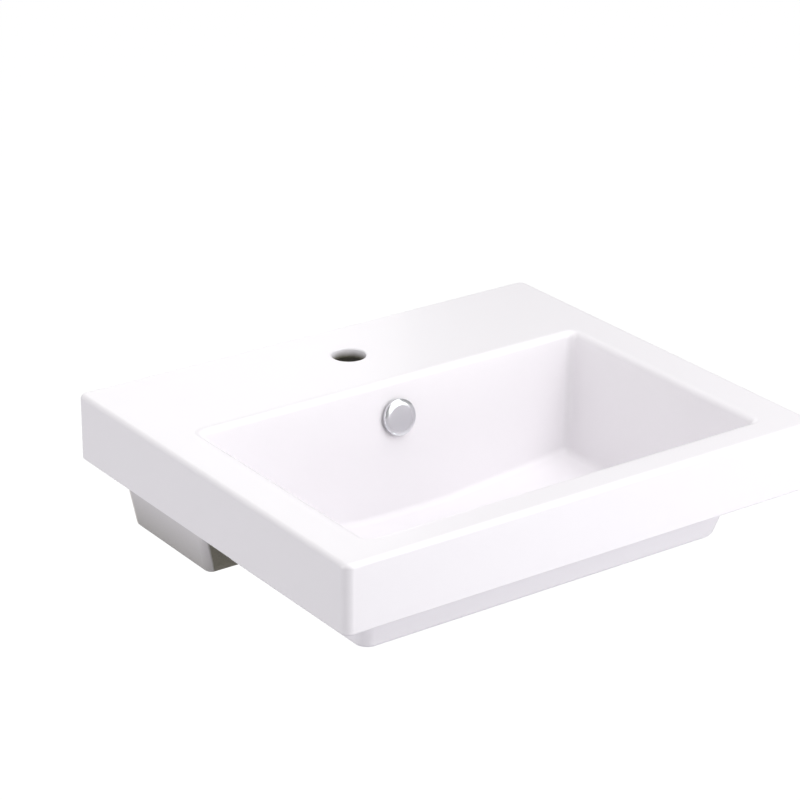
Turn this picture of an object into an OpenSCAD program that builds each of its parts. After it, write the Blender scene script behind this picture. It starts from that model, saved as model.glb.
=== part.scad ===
// Wall-hung basin with a tap deck, an overflow and a press-to-close waste.
// Millimetres. X runs to the right seen from the front, Y runs into the wall and Z is up.
// The origin is the middle of the two wall studs, on the wall face.
// Heights inside the modules are counted down from the top of the rim.

/* [Basin] */
// Width of the rim slab
basin_w = 550; // [500:5:640]
// Depth of the rim slab, from the wall to its front edge
basin_d = 465; // [440:5:520]
// Height of the rim slab
slab_h = 69; // [60:0.5:80]
// Radius of the slab's four upright corners
corner_r = 9; // [7:0.5:20]
// Radius of the slab's top and bottom edges
edge_r = 5; // [3:0.5:6]
// Radius of the edge round the slab's underside
low_edge_r = 2; // [1:0.5:5]
// Thickness of the glazed walls
wall_t = 9; // [8:0.5:11]

/* [Bowl] */
// Width of the rim at each side of the bowl
side_rim = 47; // [44:1:70]
// Width of the rim in front of the bowl
front_rim = 34.5; // [30:0.5:50]
// Depth of the tap deck behind the bowl
tap_deck = 147; // [140:1:170]
// Depth of the bowl where its walls meet the floor
bowl_depth = 122; // [105:1:125]
// Fall of the floor from its edge to the waste
floor_fall = 14; // [8:1:16]
// Lean of the side walls, in degrees
side_draft = 11; // [8:0.5:14]
// Lean of the back wall, in degrees
back_draft = 11.5; // [6:0.5:13]
// Lean of the front wall, in degrees
front_draft = 17; // [12:0.5:20]
// Radius of the rolled lip round the bowl
lip_r = 8; // [4:0.5:10]
// Radius where the walls meet the floor
floor_r = 8; // [6:1:16]
// Radius of the bowl's upright corners
bowl_corner_r = 8; // [7:1:20]
// Thickness of the floor
floor_t = 9; // [8:0.5:12]

/* [Tap deck] */
// Diameter of the tap hole
tap_hole_d = 35; // [32:0.5:38]
// Distance of the tap hole from the wall
tap_from_wall = 69.5; // [62:0.5:80]
// Thickness of the deck round the tap hole
deck_t = 10; // [9:0.5:16]
// Radius of the glazed edge of the tap hole
tap_lip_r = 2; // [1:0.5:3]

/* [Rear apron] */
// Height of the basin from the rim to the foot of the apron
body_h = 163.5; // [156:0.5:180]
// Width of the apron at its foot
apron_w = 422; // [380:1:440]
// Depth of the apron at its foot
apron_d = 134; // [126:1:136]
// Lean of the apron's sides, in degrees
apron_draft = 12; // [8:0.5:14]
// Lean of the apron's front, in degrees
apron_front_draft = 6; // [2:0.5:8]
// Radius of the apron's upright corners
apron_corner_r = 8; // [8:1:20]
// Thickness of the apron's sides and front
apron_t = 11; // [9:0.5:13]
// Thickness of the panel that lies on the wall
back_t = 13; // [11:0.5:16]
// Width of the gap in the apron's front, for the pipes
pipe_gap_w = 300; // [220:5:340]

/* [Wall fixings] */
// Distance between the wall studs
stud_pitch = 280; // [230:5:320]
// Depth of the studs below the rim
stud_drop = 110; // [95:1:125]
// Diameter of the studs
stud_d = 10; // [8:1:12]
// Length of a stud inside the wall
stud_in_wall = 58; // [40:1:70]
// Length of a stud inside the basin
stud_in_basin = 52; // [42:1:60]
// Diameter of the stud holes in the basin
stud_hole_d = 16; // [15:0.5:20]
// Thickness of the collar on the stud bushes
bush_collar_t = 3; // [2:0.5:4]
// Diameter of the washers under the stud nuts
washer_d = 30; // [26:1:34]
// Thickness of the washers
washer_t = 2.5; // [2:0.5:3]
// Height of the stud nuts
nut_h = 8; // [6:0.5:10]
// Width of the stud nuts across flats
nut_flats = 17; // [16:1:20]

/* [Overflow] */
// Depth of the overflow below the rim
overflow_drop = 38; // [36:0.5:46]
// Diameter of the overflow cap
overflow_cap_d = 37.5; // [34:0.5:40]
// Height of the cap's face above the bowl's wall
overflow_cap_h = 7.6; // [6:0.1:9]
// Diameter of the overflow hole
overflow_hole_d = 26.4; // [25:0.2:28]
// Inside width of the overflow channel
channel_w = 44; // [40:1:50]
// Inside depth of the overflow channel
channel_d = 10; // [8:0.5:11]
// Thickness of the channel's outer skin
channel_t = 8; // [6:0.5:9]

/* [Waste] */
// Distance of the waste from the wall
waste_from_wall = 250; // [245:1:270]
// Outside diameter of the waste tail
waste_d = 41.91; // [41.91:0.01:42.2]
// Bore of the waste tail
waste_bore = 35; // [34:0.5:37]
// Length of the waste from its seat to the end of the tail
waste_len = 63.5; // [60:0.5:90]
// Diameter of the waste flange
flange_d = 65; // [62:0.5:68]
// Diameter of the waste hole in the basin
waste_hole_d = 46; // [44:0.5:48]
// Travel of the plug
plug_travel = 8; // [6:0.5:9]
// Diameter of the plug
plug_d = 46.4; // [44:0.1:47]
// Thickness of the sealing washer under the basin
lower_gasket_t = 3.5; // [2.5:0.5:5]
// Thickness of the sliding washer above the back nut
slip_washer_t = 1.5; // [1:0.5:2]
// Height of the back nut
back_nut_h = 8; // [6:0.5:10]
// Width of the back nut across flats
back_nut_flats = 52; // [50:1:56]

/* [Press-to-close cartridge] */
// Diameter of the cartridge
cartridge_d = 17; // [16:0.5:20]
// Diameter of the plug stem
stem_d = 6; // [5:0.5:6]
// Diameter of the spring wire
spring_wire_d = 0.9; // [0.7:0.1:1]
// Turns of the spring
spring_turns = 4; // [3:0.5:4.5]

/* [Fits] */
// Radial clearance of a sliding stem
run_fit = 0.08; // [0.04:0.01:0.1]
// Radial clearance of a screwed or pushed fit
seat_fit = 0.05; // [0.03:0.01:0.1]
// Least clearance between moving pieces
move_gap = 0.3; // [0.3:0.05:0.5]

/* [Hidden] */

glaze_white = [0.96, 0.96, 0.97];
chrome = [0.78, 0.78, 0.8];
brass = [0.8, 0.66, 0.36];
zinc = [0.72, 0.73, 0.75];
seal_black = [0.12, 0.12, 0.12];
plastic_white = [0.9, 0.9, 0.88];
plastic_grey = [0.45, 0.46, 0.48];

// A cut runs this far past the surface that it opens
over = 2;
// A piece that grows out of another starts this far inside it
root = 3;
corner_steps = 6;
arc_steps = 4;

// Bowl outline, as functions of the height z below the rim and of a growth outwards
bowl_front_y = front_rim - basin_d;
bowl_back_y = -tap_deck;
function bowl_x(z, grow = 0) = basin_w / 2 - side_rim + z * tan(side_draft) + grow;
function bowl_front(z, grow = 0) = bowl_front_y - z * tan(front_draft) - grow;
function bowl_back(z, grow = 0) = bowl_back_y + z * tan(back_draft) + grow;

// Waste levels, from the seat down
waste_y = -waste_from_wall;
seat_depth = 1;
seat_r = flange_d / 2 + 2.5;
seat_z = -bowl_depth - floor_fall - seat_depth;
floor_sag = floor_fall - 1;
floor_flat_w = 90;
under_floor_z = seat_z - floor_t + 1;
channel_top_z = seat_z - floor_t + 1.5;
channel_floor_z = channel_top_z - channel_d + 1;
boss_z = channel_floor_z - channel_t;
gasket_t = 1.3;
flange_under_z = seat_z + gasket_t;
tail_end_z = seat_z - waste_len;
lower_gasket_z = boss_z - lower_gasket_t;
slip_washer_z = lower_gasket_z - slip_washer_t;
back_nut_z = slip_washer_z - back_nut_h;
tail_r = waste_d / 2;
washer_hole_r = tail_r + 0.2;
washer_rim_r = tail_r + 9.5;
flange_r = flange_d / 2;

// Plain end of the tail, which the trap goes over, up to a run-out groove
tail_free = 20;

// Dish of the flange, which the plug closes, wide above its waist and steep below it
flange_h = 2.8;
dish_top_z = flange_under_z + flange_h;
dish_rim_z = dish_top_z - 0.3;
dish_drop = 5.4;
dish_top_r = plug_d / 2 + 1.9;
dish_waist_r = tail_r - 0.9;
dish_low_r = waste_bore / 2 + 1.1;
dish_low_z = dish_rim_z - dish_drop;
dish_slope = (dish_waist_r - dish_low_r) / (flange_under_z - dish_low_z);

// Neck under the flange, inside the waste hole
neck_gap = 0.5;
waste_neck_r = waste_hole_d / 2 - neck_gap;

// Cartridge levels
bridge_h = 5;
bridge_drop = 35.5;
bridge_z = seat_z - bridge_drop;
cartridge_r = cartridge_d / 2;
cartridge_wall = 1.6;
cartridge_floor = 3;
lid_t = 2.5;
lid_spigot = 2;
collar_t = 3;
spring_solid = spring_wire_d * spring_turns;
spring_base_z = bridge_z + cartridge_floor;
spring_closed = spring_solid + spring_wire_d + move_gap;
collar_z = spring_base_z + spring_closed + plug_travel;
lid_z = collar_z + collar_t + move_gap + lid_spigot;
cartridge_bore_r = cartridge_r - cartridge_wall;
bridge_screw_r = 4;
screw_end = 1.5;
cartridge_nut_h = 4;
cartridge_nut_flats = 13;

// Overflow fittings, along the normal of the back wall
overflow_y = bowl_back(-overflow_drop);
overflow_hole_r = overflow_hole_d / 2;
sleeve_r = overflow_hole_r - 0.6;
sleeve_wall = 2.1;
sleeve_in = 9;
sleeve_collar_t = 1.2;
spigot_r = 2;
hub_r = 4;

// Studs: the end in the wall is thicker than the nut thread
stud_r = stud_d / 2;
stud_thread_r = stud_r - 0.2;
washer_z = back_t + bush_collar_t;

// Quarter circle of a ring, from the angle start on
function corner(x, y, r, start, z) = [
    for (i = [0:corner_steps])
        let (a = start + 90 * i / corner_steps)
        [x + r * cos(a), y + r * sin(a), z]
];

// Rounded rectangle at height z, from yf in front to yb at the back, with back_points on its back edge
function ring(x, yf, yb, r, z, back_points = []) = concat(
    corner(x - r, yb - r, r, 0, z),
    back_points,
    corner(r - x, yb - r, r, 90, z),
    corner(r - x, yf + r, r, 180, z),
    corner(x - r, yf + r, r, 270, z)
);

// Solid skinned over rings, lowest first
module loft(rings) {
    n = len(rings[0]);
    last = len(rings) - 1;
    sides = [
        for (k = [0:last - 1])
            for (i = [0:n - 1])
                let (a = k * n + i, b = k * n + (i + 1) % n)
                each [[a, a + n, b + n], [a, b + n, b]]
    ];
    bottom = [for (i = [0:n - 1]) i];
    top = [for (i = [n - 1:-1:0]) last * n + i];
    polyhedron(points = [for (r = rings) each r], faces = concat([bottom], sides, [top]));
}

// Rounded rectangle of the bowl at height z, grown by g, whose back edge sags in the middle
function bowl_ring(z, g, r, sag = 0) = ring(
    bowl_x(z, g), bowl_front(z, g), bowl_back(z, g), r, z,
    [for (side = [1, -1]) [side * floor_flat_w / 2, bowl_back(z - sag, g), z - sag]]
);

// Round-cornered square about the waste
function waste_ring(half, z) = ring(
    half, waste_y - half, waste_y + half, half - 1, z,
    [for (side = [1, -1]) [side / 2, waste_y + half, z]]
);

module at_rim() {
    translate([0, 0, stud_drop]) children();
}

module at_waste() {
    at_rim() translate([0, waste_y, 0]) children();
}

// Local Z points out of the bowl's back wall
module at_overflow() {
    at_rim() translate([0, overflow_y, -overflow_drop]) rotate([90 - back_draft, 0, 0]) children();
}

// Local Z points out of the wall, into the basin
module at_studs() {
    for (side = [-1, 1])
        translate([side * stud_pitch / 2, 0, 0]) rotate([90, 0, 0]) children();
}

module tube(r_out, r_in, z_low, z_high) {
    translate([0, 0, z_low]) difference() {
        cylinder(r = r_out, h = z_high - z_low, $fn = 96);
        translate([0, 0, -over]) cylinder(r = r_in, h = z_high - z_low + 2 * over, $fn = 96);
    }
}

module turned(profile) {
    rotate_extrude($fn = 96) polygon(profile);
}

module hex_nut(flats, r_in, z_low, h) {
    translate([0, 0, z_low]) difference() {
        cylinder(r = flats / 2 / cos(30), h = h, $fn = 6);
        translate([0, 0, -over]) cylinder(r = r_in, h = h + 2 * over, $fn = 96);
    }
}

// Ceramic body, one piece of ceramic in five nodes that meet face to face

module slab() {
    function edge_ring(inset, z) =
        ring(basin_w / 2 - inset, inset - basin_d, -inset, corner_r - inset, z);
    loft([
        for (i = [0:arc_steps])
            let (a = 90 * i / arc_steps)
            edge_ring(low_edge_r * (1 - sin(a)), -slab_h + low_edge_r * (1 - cos(a))),
        for (i = [0:arc_steps])
            let (a = 90 * i / arc_steps)
            edge_ring(edge_r * (1 - cos(a)), -edge_r + edge_r * sin(a))
    ]);
}

// Outside of the bowl, from under the floor up to z_top
module under_body(z_top) {
    under_r = bowl_corner_r + wall_t / 2;
    edge = 8;
    loft([
        waste_ring(seat_r + 2, under_floor_z),
        for (i = [0:arc_steps])
            let (
                a = 90 * i / arc_steps,
                z = -bowl_depth - floor_t + edge * (1 - cos(a)),
                inset = edge * (1 - sin(a))
            )
            bowl_ring(z, wall_t - inset, under_r - inset, floor_sag),
        bowl_ring(z_top, wall_t, under_r)
    ]);
}

module bowl_hollow() {
    loft([
        waste_ring(seat_r + 0.5, -bowl_depth - floor_fall),
        for (i = [0:arc_steps])
            let (
                a = 90 * i / arc_steps,
                z = -bowl_depth + floor_r * (1 - cos(a)),
                inset = floor_r * (1 - sin(a))
            )
            bowl_ring(z, -inset, bowl_corner_r, floor_sag),
        for (i = [0:arc_steps])
            let (
                a = 90 * i / arc_steps,
                out = lip_r * (1 - cos(a))
            )
            bowl_ring(-lip_r + lip_r * sin(a), out, bowl_corner_r + out),
        bowl_ring(over, lip_r, bowl_corner_r + lip_r)
    ]);
}

function apron_x(z) = apron_w / 2 + (z + body_h) * tan(apron_draft);
function apron_front(z) = -apron_d - (z + body_h) * tan(apron_front_draft);

function apron_ring(z, inset, r) =
    ring(apron_x(z) - inset, apron_front(z) + inset, apron_corner_r, r, z);

// Rear block below the slab, carried up to z_top and cut off at the wall face
module apron(z_top) {
    foot_r = 7;
    intersection() {
        loft([
            for (i = [0:arc_steps])
                let (
                    a = 90 * i / arc_steps,
                    z = -body_h + foot_r * (1 - cos(a)),
                    inset = foot_r * (1 - sin(a))
                )
                apron_ring(z, inset, apron_corner_r - inset / 2),
            apron_ring(z_top, 0, apron_corner_r)
        ]);
        translate([-basin_w, -basin_d, -body_h - over]) cube([2 * basin_w, basin_d, body_h + over]);
    }
}

// Room behind the bowl for the tap tails, the stud nuts and the pipes
module rear_room() {
    room_r = 8;
    room_front = -apron_d + apron_t;
    function room_ring(z) = ring(apron_x(z) - apron_t, room_front, -back_t, room_r, z);
    loft([room_ring(-body_h - over), room_ring(-deck_t)]);

    // Gap in the front for the pipes, which ends half-way up the slab
    gap_front = -tap_deck - 3 * wall_t;
    difference() {
        translate([-pipe_gap_w / 2, gap_front, -body_h - over])
            cube([pipe_gap_w, room_front + room_r - gap_front, body_h + over - slab_h / 2]);
        under_body(0);
    }
}

// Channel behind the back wall and under the floor, seen from its side
channel_head_z = -overflow_drop + overflow_hole_r + 1;

module channel_side(skin) {
    bend_z = seat_z + 1;
    heel_y = bowl_back(bend_z) + wall_t + channel_d;
    sunk = skin > 0 ? root : 0;
    out = [skin, 0];
    polygon([
        [bowl_back(channel_head_z) + wall_t - sunk, channel_head_z + skin],
        [bowl_back(channel_head_z) + wall_t + channel_d, channel_head_z + skin] + out,
        [heel_y, bend_z] + out,
        [heel_y - root, channel_floor_z - skin] + out,
        [waste_y, channel_floor_z - skin],
        [waste_y, channel_top_z + sunk],
        [bowl_back(bend_z) + wall_t / 2, channel_top_z + sunk],
        [bowl_back(bend_z) + wall_t - sunk, bend_z]
    ]);
}

module channel(width, skin) {
    translate([-width / 2, 0, 0]) rotate([90, 0, 90]) linear_extrude(width) channel_side(skin);
}

module tap_hole() {
    translate([0, -tap_from_wall, 0]) {
        translate([0, 0, -deck_t - over]) cylinder(d = tap_hole_d, h = deck_t + 2 * over, $fn = 96);
        turned([
            for (i = [0:2 * arc_steps])
                let (a = 90 * i / (2 * arc_steps))
                [tap_hole_d / 2 + tap_lip_r * (1 - cos(a)), -tap_lip_r + tap_lip_r * sin(a)],
            [tap_hole_d / 2 + tap_lip_r, over],
            [0, over],
            [0, -tap_lip_r]
        ]);
    }
}

// Everything from the level z up to z + h
module layer(z, h) {
    translate([-basin_w, -2 * basin_d, z]) cube([2 * basin_w, 3 * basin_d, h]);
}

// Whole slab with the upper part of the bowl
module slab_block() {
    difference() {
        at_rim() difference() {
            union() {
                difference() {
                    union() {
                        slab();
                        intersection() {
                            apron(0);
                            layer(-slab_h, low_edge_r);
                        }
                    }
                    rear_room();
                }
                intersection() {
                    channel(channel_w + 2 * channel_t, channel_t);
                    layer(-slab_h, slab_h);
                }
            }
            bowl_hollow();
            channel(channel_w, 0);
            tap_hole();
        }
        at_overflow() translate([0, 0, -wall_t - over])
            cylinder(r = overflow_hole_r, h = wall_t + 2 * over, $fn = 96);
    }
}

// Plane that parts the rim from the strip behind it, clear of the bowl's back corners
rim_end_y = bowl_back(-slab_h) - bowl_corner_r;
// Plane that parts that strip from the deck, in the middle of the apron's front wall
deck_start_y = apron_t / 2 - apron_d;

// Everything in front of the plane y
module in_front(y) {
    translate([-basin_w, y - basin_d, -body_h]) cube([2 * basin_w, basin_d, 2 * body_h]);
}

// Front and sides of the slab
module basin_rim() {
    color(glaze_white) intersection() {
        slab_block();
        in_front(rim_end_y);
    }
}

// Strip of the slab with the bowl's back wall and the overflow hole
module bowl_ledge() {
    color(glaze_white) difference() {
        intersection() {
            slab_block();
            in_front(deck_start_y);
        }
        in_front(rim_end_y);
    }
}

// Rear of the slab, which carries the tap
module basin_deck() {
    color(glaze_white) difference() {
        slab_block();
        in_front(deck_start_y);
    }
}

// Lower part of the bowl, which grows out of the slab
module bowl_shell() {
    color(glaze_white) at_rim() difference() {
        intersection() {
            union() {
                under_body(0);
                channel(channel_w + 2 * channel_t, channel_t);
                translate([0, waste_y, boss_z])
                    cylinder(r = seat_r + 1.5, h = seat_z - boss_z - 1, $fn = 96);
            }
            layer(-slab_h - body_h, body_h);
        }
        bowl_hollow();
        channel(channel_w, 0);
        translate([0, waste_y, 0]) {
            translate([0, 0, seat_z]) cylinder(r = seat_r, h = 2 * seat_depth, $fn = 96);
            translate([0, 0, boss_z - over])
                cylinder(d = waste_hole_d, h = seat_z - boss_z + 2 * over, $fn = 96);
        }
    }
}

// Block behind the bowl, which lies on the wall and hangs on the studs
module rear_apron() {
    color(glaze_white) difference() {
        at_rim() difference() {
            intersection() {
                apron(0);
                layer(-slab_h - body_h, body_h);
            }
            rear_room();
        }
        at_studs() translate([0, 0, -over]) cylinder(d = stud_hole_d, h = back_t + 2 * over, $fn = 96);
    }
}

// Overflow fittings

module overflow_cap() {
    rim_r = overflow_cap_d / 2;
    rim_low = 2.4;
    rim_high = 5.2;
    shell = 1.3;
    face_share = 0.62;
    flat_r = face_share * rim_r;
    color(chrome) at_overflow() {
        turned([
            [0, overflow_cap_h],
            for (i = [0:2 * arc_steps])
                let (a = 90 - 90 * i / (2 * arc_steps))
                [flat_r + (rim_r - flat_r) * cos(a), rim_high + (overflow_cap_h - rim_high) * sin(a)],
            [rim_r, rim_low],
            [rim_r - shell, rim_low],
            [rim_r - shell, rim_high],
            [flat_r, overflow_cap_h - shell],
            [0, overflow_cap_h - shell]
        ]);
        translate([0, 0, sleeve_collar_t])
            cylinder(r = hub_r, h = overflow_cap_h - sleeve_collar_t - shell / 2, $fn = 64);
        translate([0, 0, -sleeve_in + 1])
            cylinder(r = spigot_r, h = sleeve_in + sleeve_collar_t, $fn = 64);
    }
}

ring_groove_z = -sleeve_in / 2;
ring_groove_h = 1.9;
ring_wire_r = 0.75;
ring_centre_r = overflow_hole_r - ring_wire_r - seat_fit;

module overflow_insert() {
    bore_r = sleeve_r - sleeve_wall;
    rib_t = 1.6;
    flange_w = 2;
    color(plastic_white) at_overflow() difference() {
        union() {
            tube(sleeve_r, bore_r, -sleeve_in, sleeve_collar_t);
            tube(sleeve_r + flange_w, bore_r, 0, sleeve_collar_t);
            translate([0, 0, -sleeve_in])
                cylinder(r = hub_r, h = sleeve_in + sleeve_collar_t, $fn = 64);
            for (a = [90, 210, 330])
                rotate([0, 0, a]) translate([0, -rib_t / 2, -sleeve_in])
                    cube([bore_r + 1, rib_t, sleeve_in]);
        }
        translate([0, 0, -sleeve_in - over])
            cylinder(r = spigot_r + seat_fit, h = sleeve_in + 3 * over, $fn = 64);
        tube(
            sleeve_r + 1, ring_centre_r - ring_wire_r - seat_fit,
            ring_groove_z - ring_groove_h / 2, ring_groove_z + ring_groove_h / 2
        );
    }
}

module overflow_ring() {
    color(seal_black) at_overflow() translate([0, 0, ring_groove_z])
        rotate_extrude($fn = 96) translate([ring_centre_r, 0]) circle(r = ring_wire_r, $fn = 32);
}

// Waste

module waste_body() {
    bore_r = waste_bore / 2;
    slot_w = 15;
    slot_start = 0.8 * bore_r;
    arm_w = 4;
    rim = 0.8;
    neck_h = 1.2;
    groove_z = tail_end_z + tail_free;
    color(chrome) at_waste() difference() {
        union() {
            turned([
                [tail_r, flange_under_z - 2.5 * neck_h],
                [waste_neck_r, flange_under_z - neck_h],
                [waste_neck_r, flange_under_z],
                [flange_r - rim, flange_under_z],
                [flange_r, flange_under_z + rim],
                [flange_r - rim, flange_under_z + 2 * rim],
                [flange_r - 5 * rim, dish_top_z - rim / 4],
                [dish_top_r + rim, dish_top_z],
                [dish_top_r, dish_rim_z],
                [dish_waist_r, flange_under_z],
                [dish_low_r, dish_low_z],
                [bore_r, dish_low_z - rim],
                [bore_r, tail_end_z],
                [tail_r - rim, tail_end_z],
                [tail_r, tail_end_z + rim],
                [tail_r, groove_z],
                [tail_r - rim, groove_z + rim],
                [tail_r - rim, groove_z + 2 * rim],
                [tail_r, groove_z + 3 * rim]
            ]);
            for (a = [30, 150, 270])
                rotate([0, 0, a]) translate([0, -arm_w / 2, bridge_z - bridge_h])
                    cube([bore_r + 1, arm_w, bridge_h]);
            translate([0, 0, bridge_z - bridge_h]) cylinder(r = cartridge_r, h = bridge_h, $fn = 64);
        }
        translate([0, 0, bridge_z - bridge_h - over])
            cylinder(r = bridge_screw_r + seat_fit, h = bridge_h + 2 * over, $fn = 64);
        for (a = [0, 90, 180, 270])
            rotate([0, 0, a]) translate([slot_start, -slot_w / 2, channel_floor_z])
                cube([tail_r + 1 - slot_start, slot_w, channel_top_z - channel_floor_z]);
    }
}

module flange_gasket() {
    color(seal_black) at_waste() tube(flange_r - 1.5, waste_hole_d / 2 + 0.5, seat_z, flange_under_z);
}

module lower_gasket() {
    bevel = 1.4;
    color(seal_black) at_waste() turned([
        [washer_hole_r, lower_gasket_z],
        [washer_rim_r, lower_gasket_z],
        [washer_rim_r + bevel, lower_gasket_z + bevel],
        [washer_rim_r + bevel, boss_z],
        [washer_hole_r, boss_z]
    ]);
}

module slip_washer() {
    color(plastic_grey) at_waste() tube(washer_rim_r, washer_hole_r, slip_washer_z, lower_gasket_z);
}

module back_nut() {
    color(brass) at_waste() hex_nut(back_nut_flats, tail_r + seat_fit, back_nut_z, back_nut_h);
}

module cartridge_housing() {
    color(plastic_grey) at_waste() {
        translate([0, 0, bridge_z]) cylinder(r = cartridge_r, h = cartridge_floor, $fn = 64);
        tube(cartridge_r, cartridge_bore_r, bridge_z + cartridge_floor - 0.5, lid_z);
        translate([0, 0, bridge_z - bridge_h - cartridge_nut_h - screw_end])
            cylinder(r = bridge_screw_r, h = bridge_h + cartridge_nut_h + screw_end + 1, $fn = 64);
    }
}

module cartridge_lid() {
    color(plastic_white) at_waste() difference() {
        union() {
            translate([0, 0, lid_z]) cylinder(r = cartridge_r, h = lid_t, $fn = 64);
            translate([0, 0, lid_z - lid_spigot])
                cylinder(r = cartridge_bore_r - seat_fit, h = lid_spigot + 1, $fn = 64);
        }
        translate([0, 0, lid_z - lid_spigot - over])
            cylinder(r = stem_d / 2 + run_fit, h = lid_spigot + lid_t + 2 * over, $fn = 64);
    }
}

module cartridge_nut() {
    top_z = bridge_z - bridge_h;
    color(brass) at_waste()
        hex_nut(cartridge_nut_flats, bridge_screw_r + seat_fit, top_z - cartridge_nut_h, cartridge_nut_h);
}

// Open coil of round wire between two heights
module coil(mean_r, wire_r, turns, z_low, z_high) {
    sides = 6;
    steps = 16 * turns;
    rise = z_high - z_low - 2 * wire_r;
    function wire_ring(t) = [
        for (j = [0:sides - 1])
            let (
                b = 360 * j / sides,
                a = 360 * turns * t,
                r = mean_r + wire_r * cos(b)
            )
            [r * cos(a), r * sin(a), z_low + wire_r + rise * t + wire_r * sin(b)]
    ];
    skin = [
        for (k = [0:steps - 1])
            for (j = [0:sides - 1])
                let (a = k * sides + j, b = k * sides + (j + 1) % sides)
                each [[a, b + sides, a + sides], [a, b, b + sides]]
    ];
    start = [for (j = [sides - 1:-1:0]) j];
    end = [for (j = [0:sides - 1]) steps * sides + j];
    polyhedron(
        points = [for (k = [0:steps]) each wire_ring(k / steps)],
        faces = concat([start], skin, [end])
    );
}

module cartridge_spring() {
    wire_r = spring_wire_d / 2;
    mean_r = cartridge_bore_r - wire_r - move_gap;
    color(zinc) at_waste() coil(mean_r, wire_r, spring_turns, spring_base_z, collar_z);
}

// Plug, drawn raised

module at_plug() {
    at_waste() translate([0, 0, plug_travel]) children();
}

plug_r = plug_d / 2;
plug_edge_t = 1;
plug_edge_z = dish_top_z - 0.2;
plug_crown = 1.6;
groove_wall = 0.7;
seal_wire_r = 1.5;
seal_z = plug_edge_z - plug_edge_t - seal_wire_r - groove_wall;
// The seal stands off the dish by the moving gap when the plug is down
seal_centre_r = dish_low_r + (seal_z - dish_low_z) * dish_slope
    - (seal_wire_r + move_gap) * sqrt(1 + dish_slope * dish_slope);
stem_hold = 5;
stem_boss_z = seal_z - seal_wire_r - stem_hold / 2;

module plug_cap() {
    neck_r = seal_centre_r - seal_wire_r;
    boss_r = 7;
    groove_low_z = seal_z - seal_wire_r;
    color(chrome) at_plug() difference() {
        turned([
            for (i = [0:2 * arc_steps])
                let (t = i / (2 * arc_steps))
                [plug_r * t, plug_edge_z + plug_crown * (1 - t * t)],
            [plug_r, plug_edge_z - plug_edge_t / 2],
            [plug_r - 1, plug_edge_z - plug_edge_t],
            [neck_r + 1, seal_z + seal_wire_r + groove_wall / 2],
            [neck_r, seal_z + seal_wire_r],
            [neck_r, groove_low_z],
            [neck_r + groove_wall, groove_low_z],
            [neck_r + groove_wall, groove_low_z - groove_wall],
            [neck_r - 2, groove_low_z - groove_wall],
            [boss_r, groove_low_z],
            [boss_r, stem_boss_z],
            [0, stem_boss_z]
        ]);
        translate([0, 0, stem_boss_z - over])
            cylinder(r = stem_d / 2 + seat_fit, h = stem_hold + over, $fn = 64);
    }
}

module plug_seal() {
    color(seal_black) at_plug() translate([0, 0, seal_z])
        rotate_extrude($fn = 96) translate([seal_centre_r, 0]) circle(r = seal_wire_r - seat_fit, $fn = 32);
}

module plug_stem() {
    collar_low = collar_z - plug_travel;
    top_z = stem_boss_z + stem_hold;
    guide = 2.2;
    color(zinc) at_plug() {
        translate([0, 0, collar_low]) cylinder(d = stem_d, h = top_z - collar_low, $fn = 64);
        translate([0, 0, collar_low]) cylinder(r = cartridge_bore_r - move_gap, h = collar_t, $fn = 64);
        translate([0, 0, collar_low - guide]) cylinder(d = stem_d - 1, h = guide + 1, $fn = 64);
    }
}

// Wall fixings

module wall_studs() {
    tip = 9;
    color(zinc) at_studs() turned([
        [0, -stud_in_wall],
        [stud_r, tip - stud_in_wall],
        [stud_r, 0],
        [stud_thread_r, stud_r - stud_thread_r],
        [stud_thread_r, stud_in_basin - 1],
        [stud_thread_r - 1, stud_in_basin],
        [0, stud_in_basin]
    ]);
}

module stud_bushes() {
    sleeve_out_r = stud_hole_d / 2 - 0.3;
    sleeve_start = 2;
    color(plastic_white) at_studs() difference() {
        union() {
            translate([0, 0, sleeve_start])
                cylinder(r = sleeve_out_r, h = back_t - sleeve_start + 1, $fn = 64);
            translate([0, 0, back_t]) cylinder(r = washer_d / 2, h = bush_collar_t, $fn = 64);
        }
        cylinder(r = stud_thread_r + seat_fit, h = washer_z + over, $fn = 64);
    }
}

module stud_washers() {
    color(zinc) at_studs() tube(washer_d / 2, stud_thread_r + 0.25, washer_z, washer_z + washer_t);
}

module stud_nuts() {
    color(zinc) at_studs() hex_nut(nut_flats, stud_thread_r + seat_fit, washer_z + washer_t, nut_h);
}

basin_rim();
bowl_ledge();
basin_deck();
bowl_shell();
rear_apron();
overflow_cap();
overflow_insert();
overflow_ring();
waste_body();
flange_gasket();
lower_gasket();
slip_washer();
back_nut();
cartridge_housing();
cartridge_lid();
cartridge_nut();
cartridge_spring();
plug_cap();
plug_seal();
plug_stem();
wall_studs();
stud_bushes();
stud_washers();
stud_nuts();
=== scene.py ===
"""Dresses a packed wall-hung basin: glazed body, overflow, press-to-close waste and wall fixings.

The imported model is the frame. Every piece is built in its place, in metres: X to the right,
Y into the wall, Z up, with the origin between the two wall studs. Heights inside the
operators are counted from the top of the rim, and depths from the wall.
"""

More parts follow.
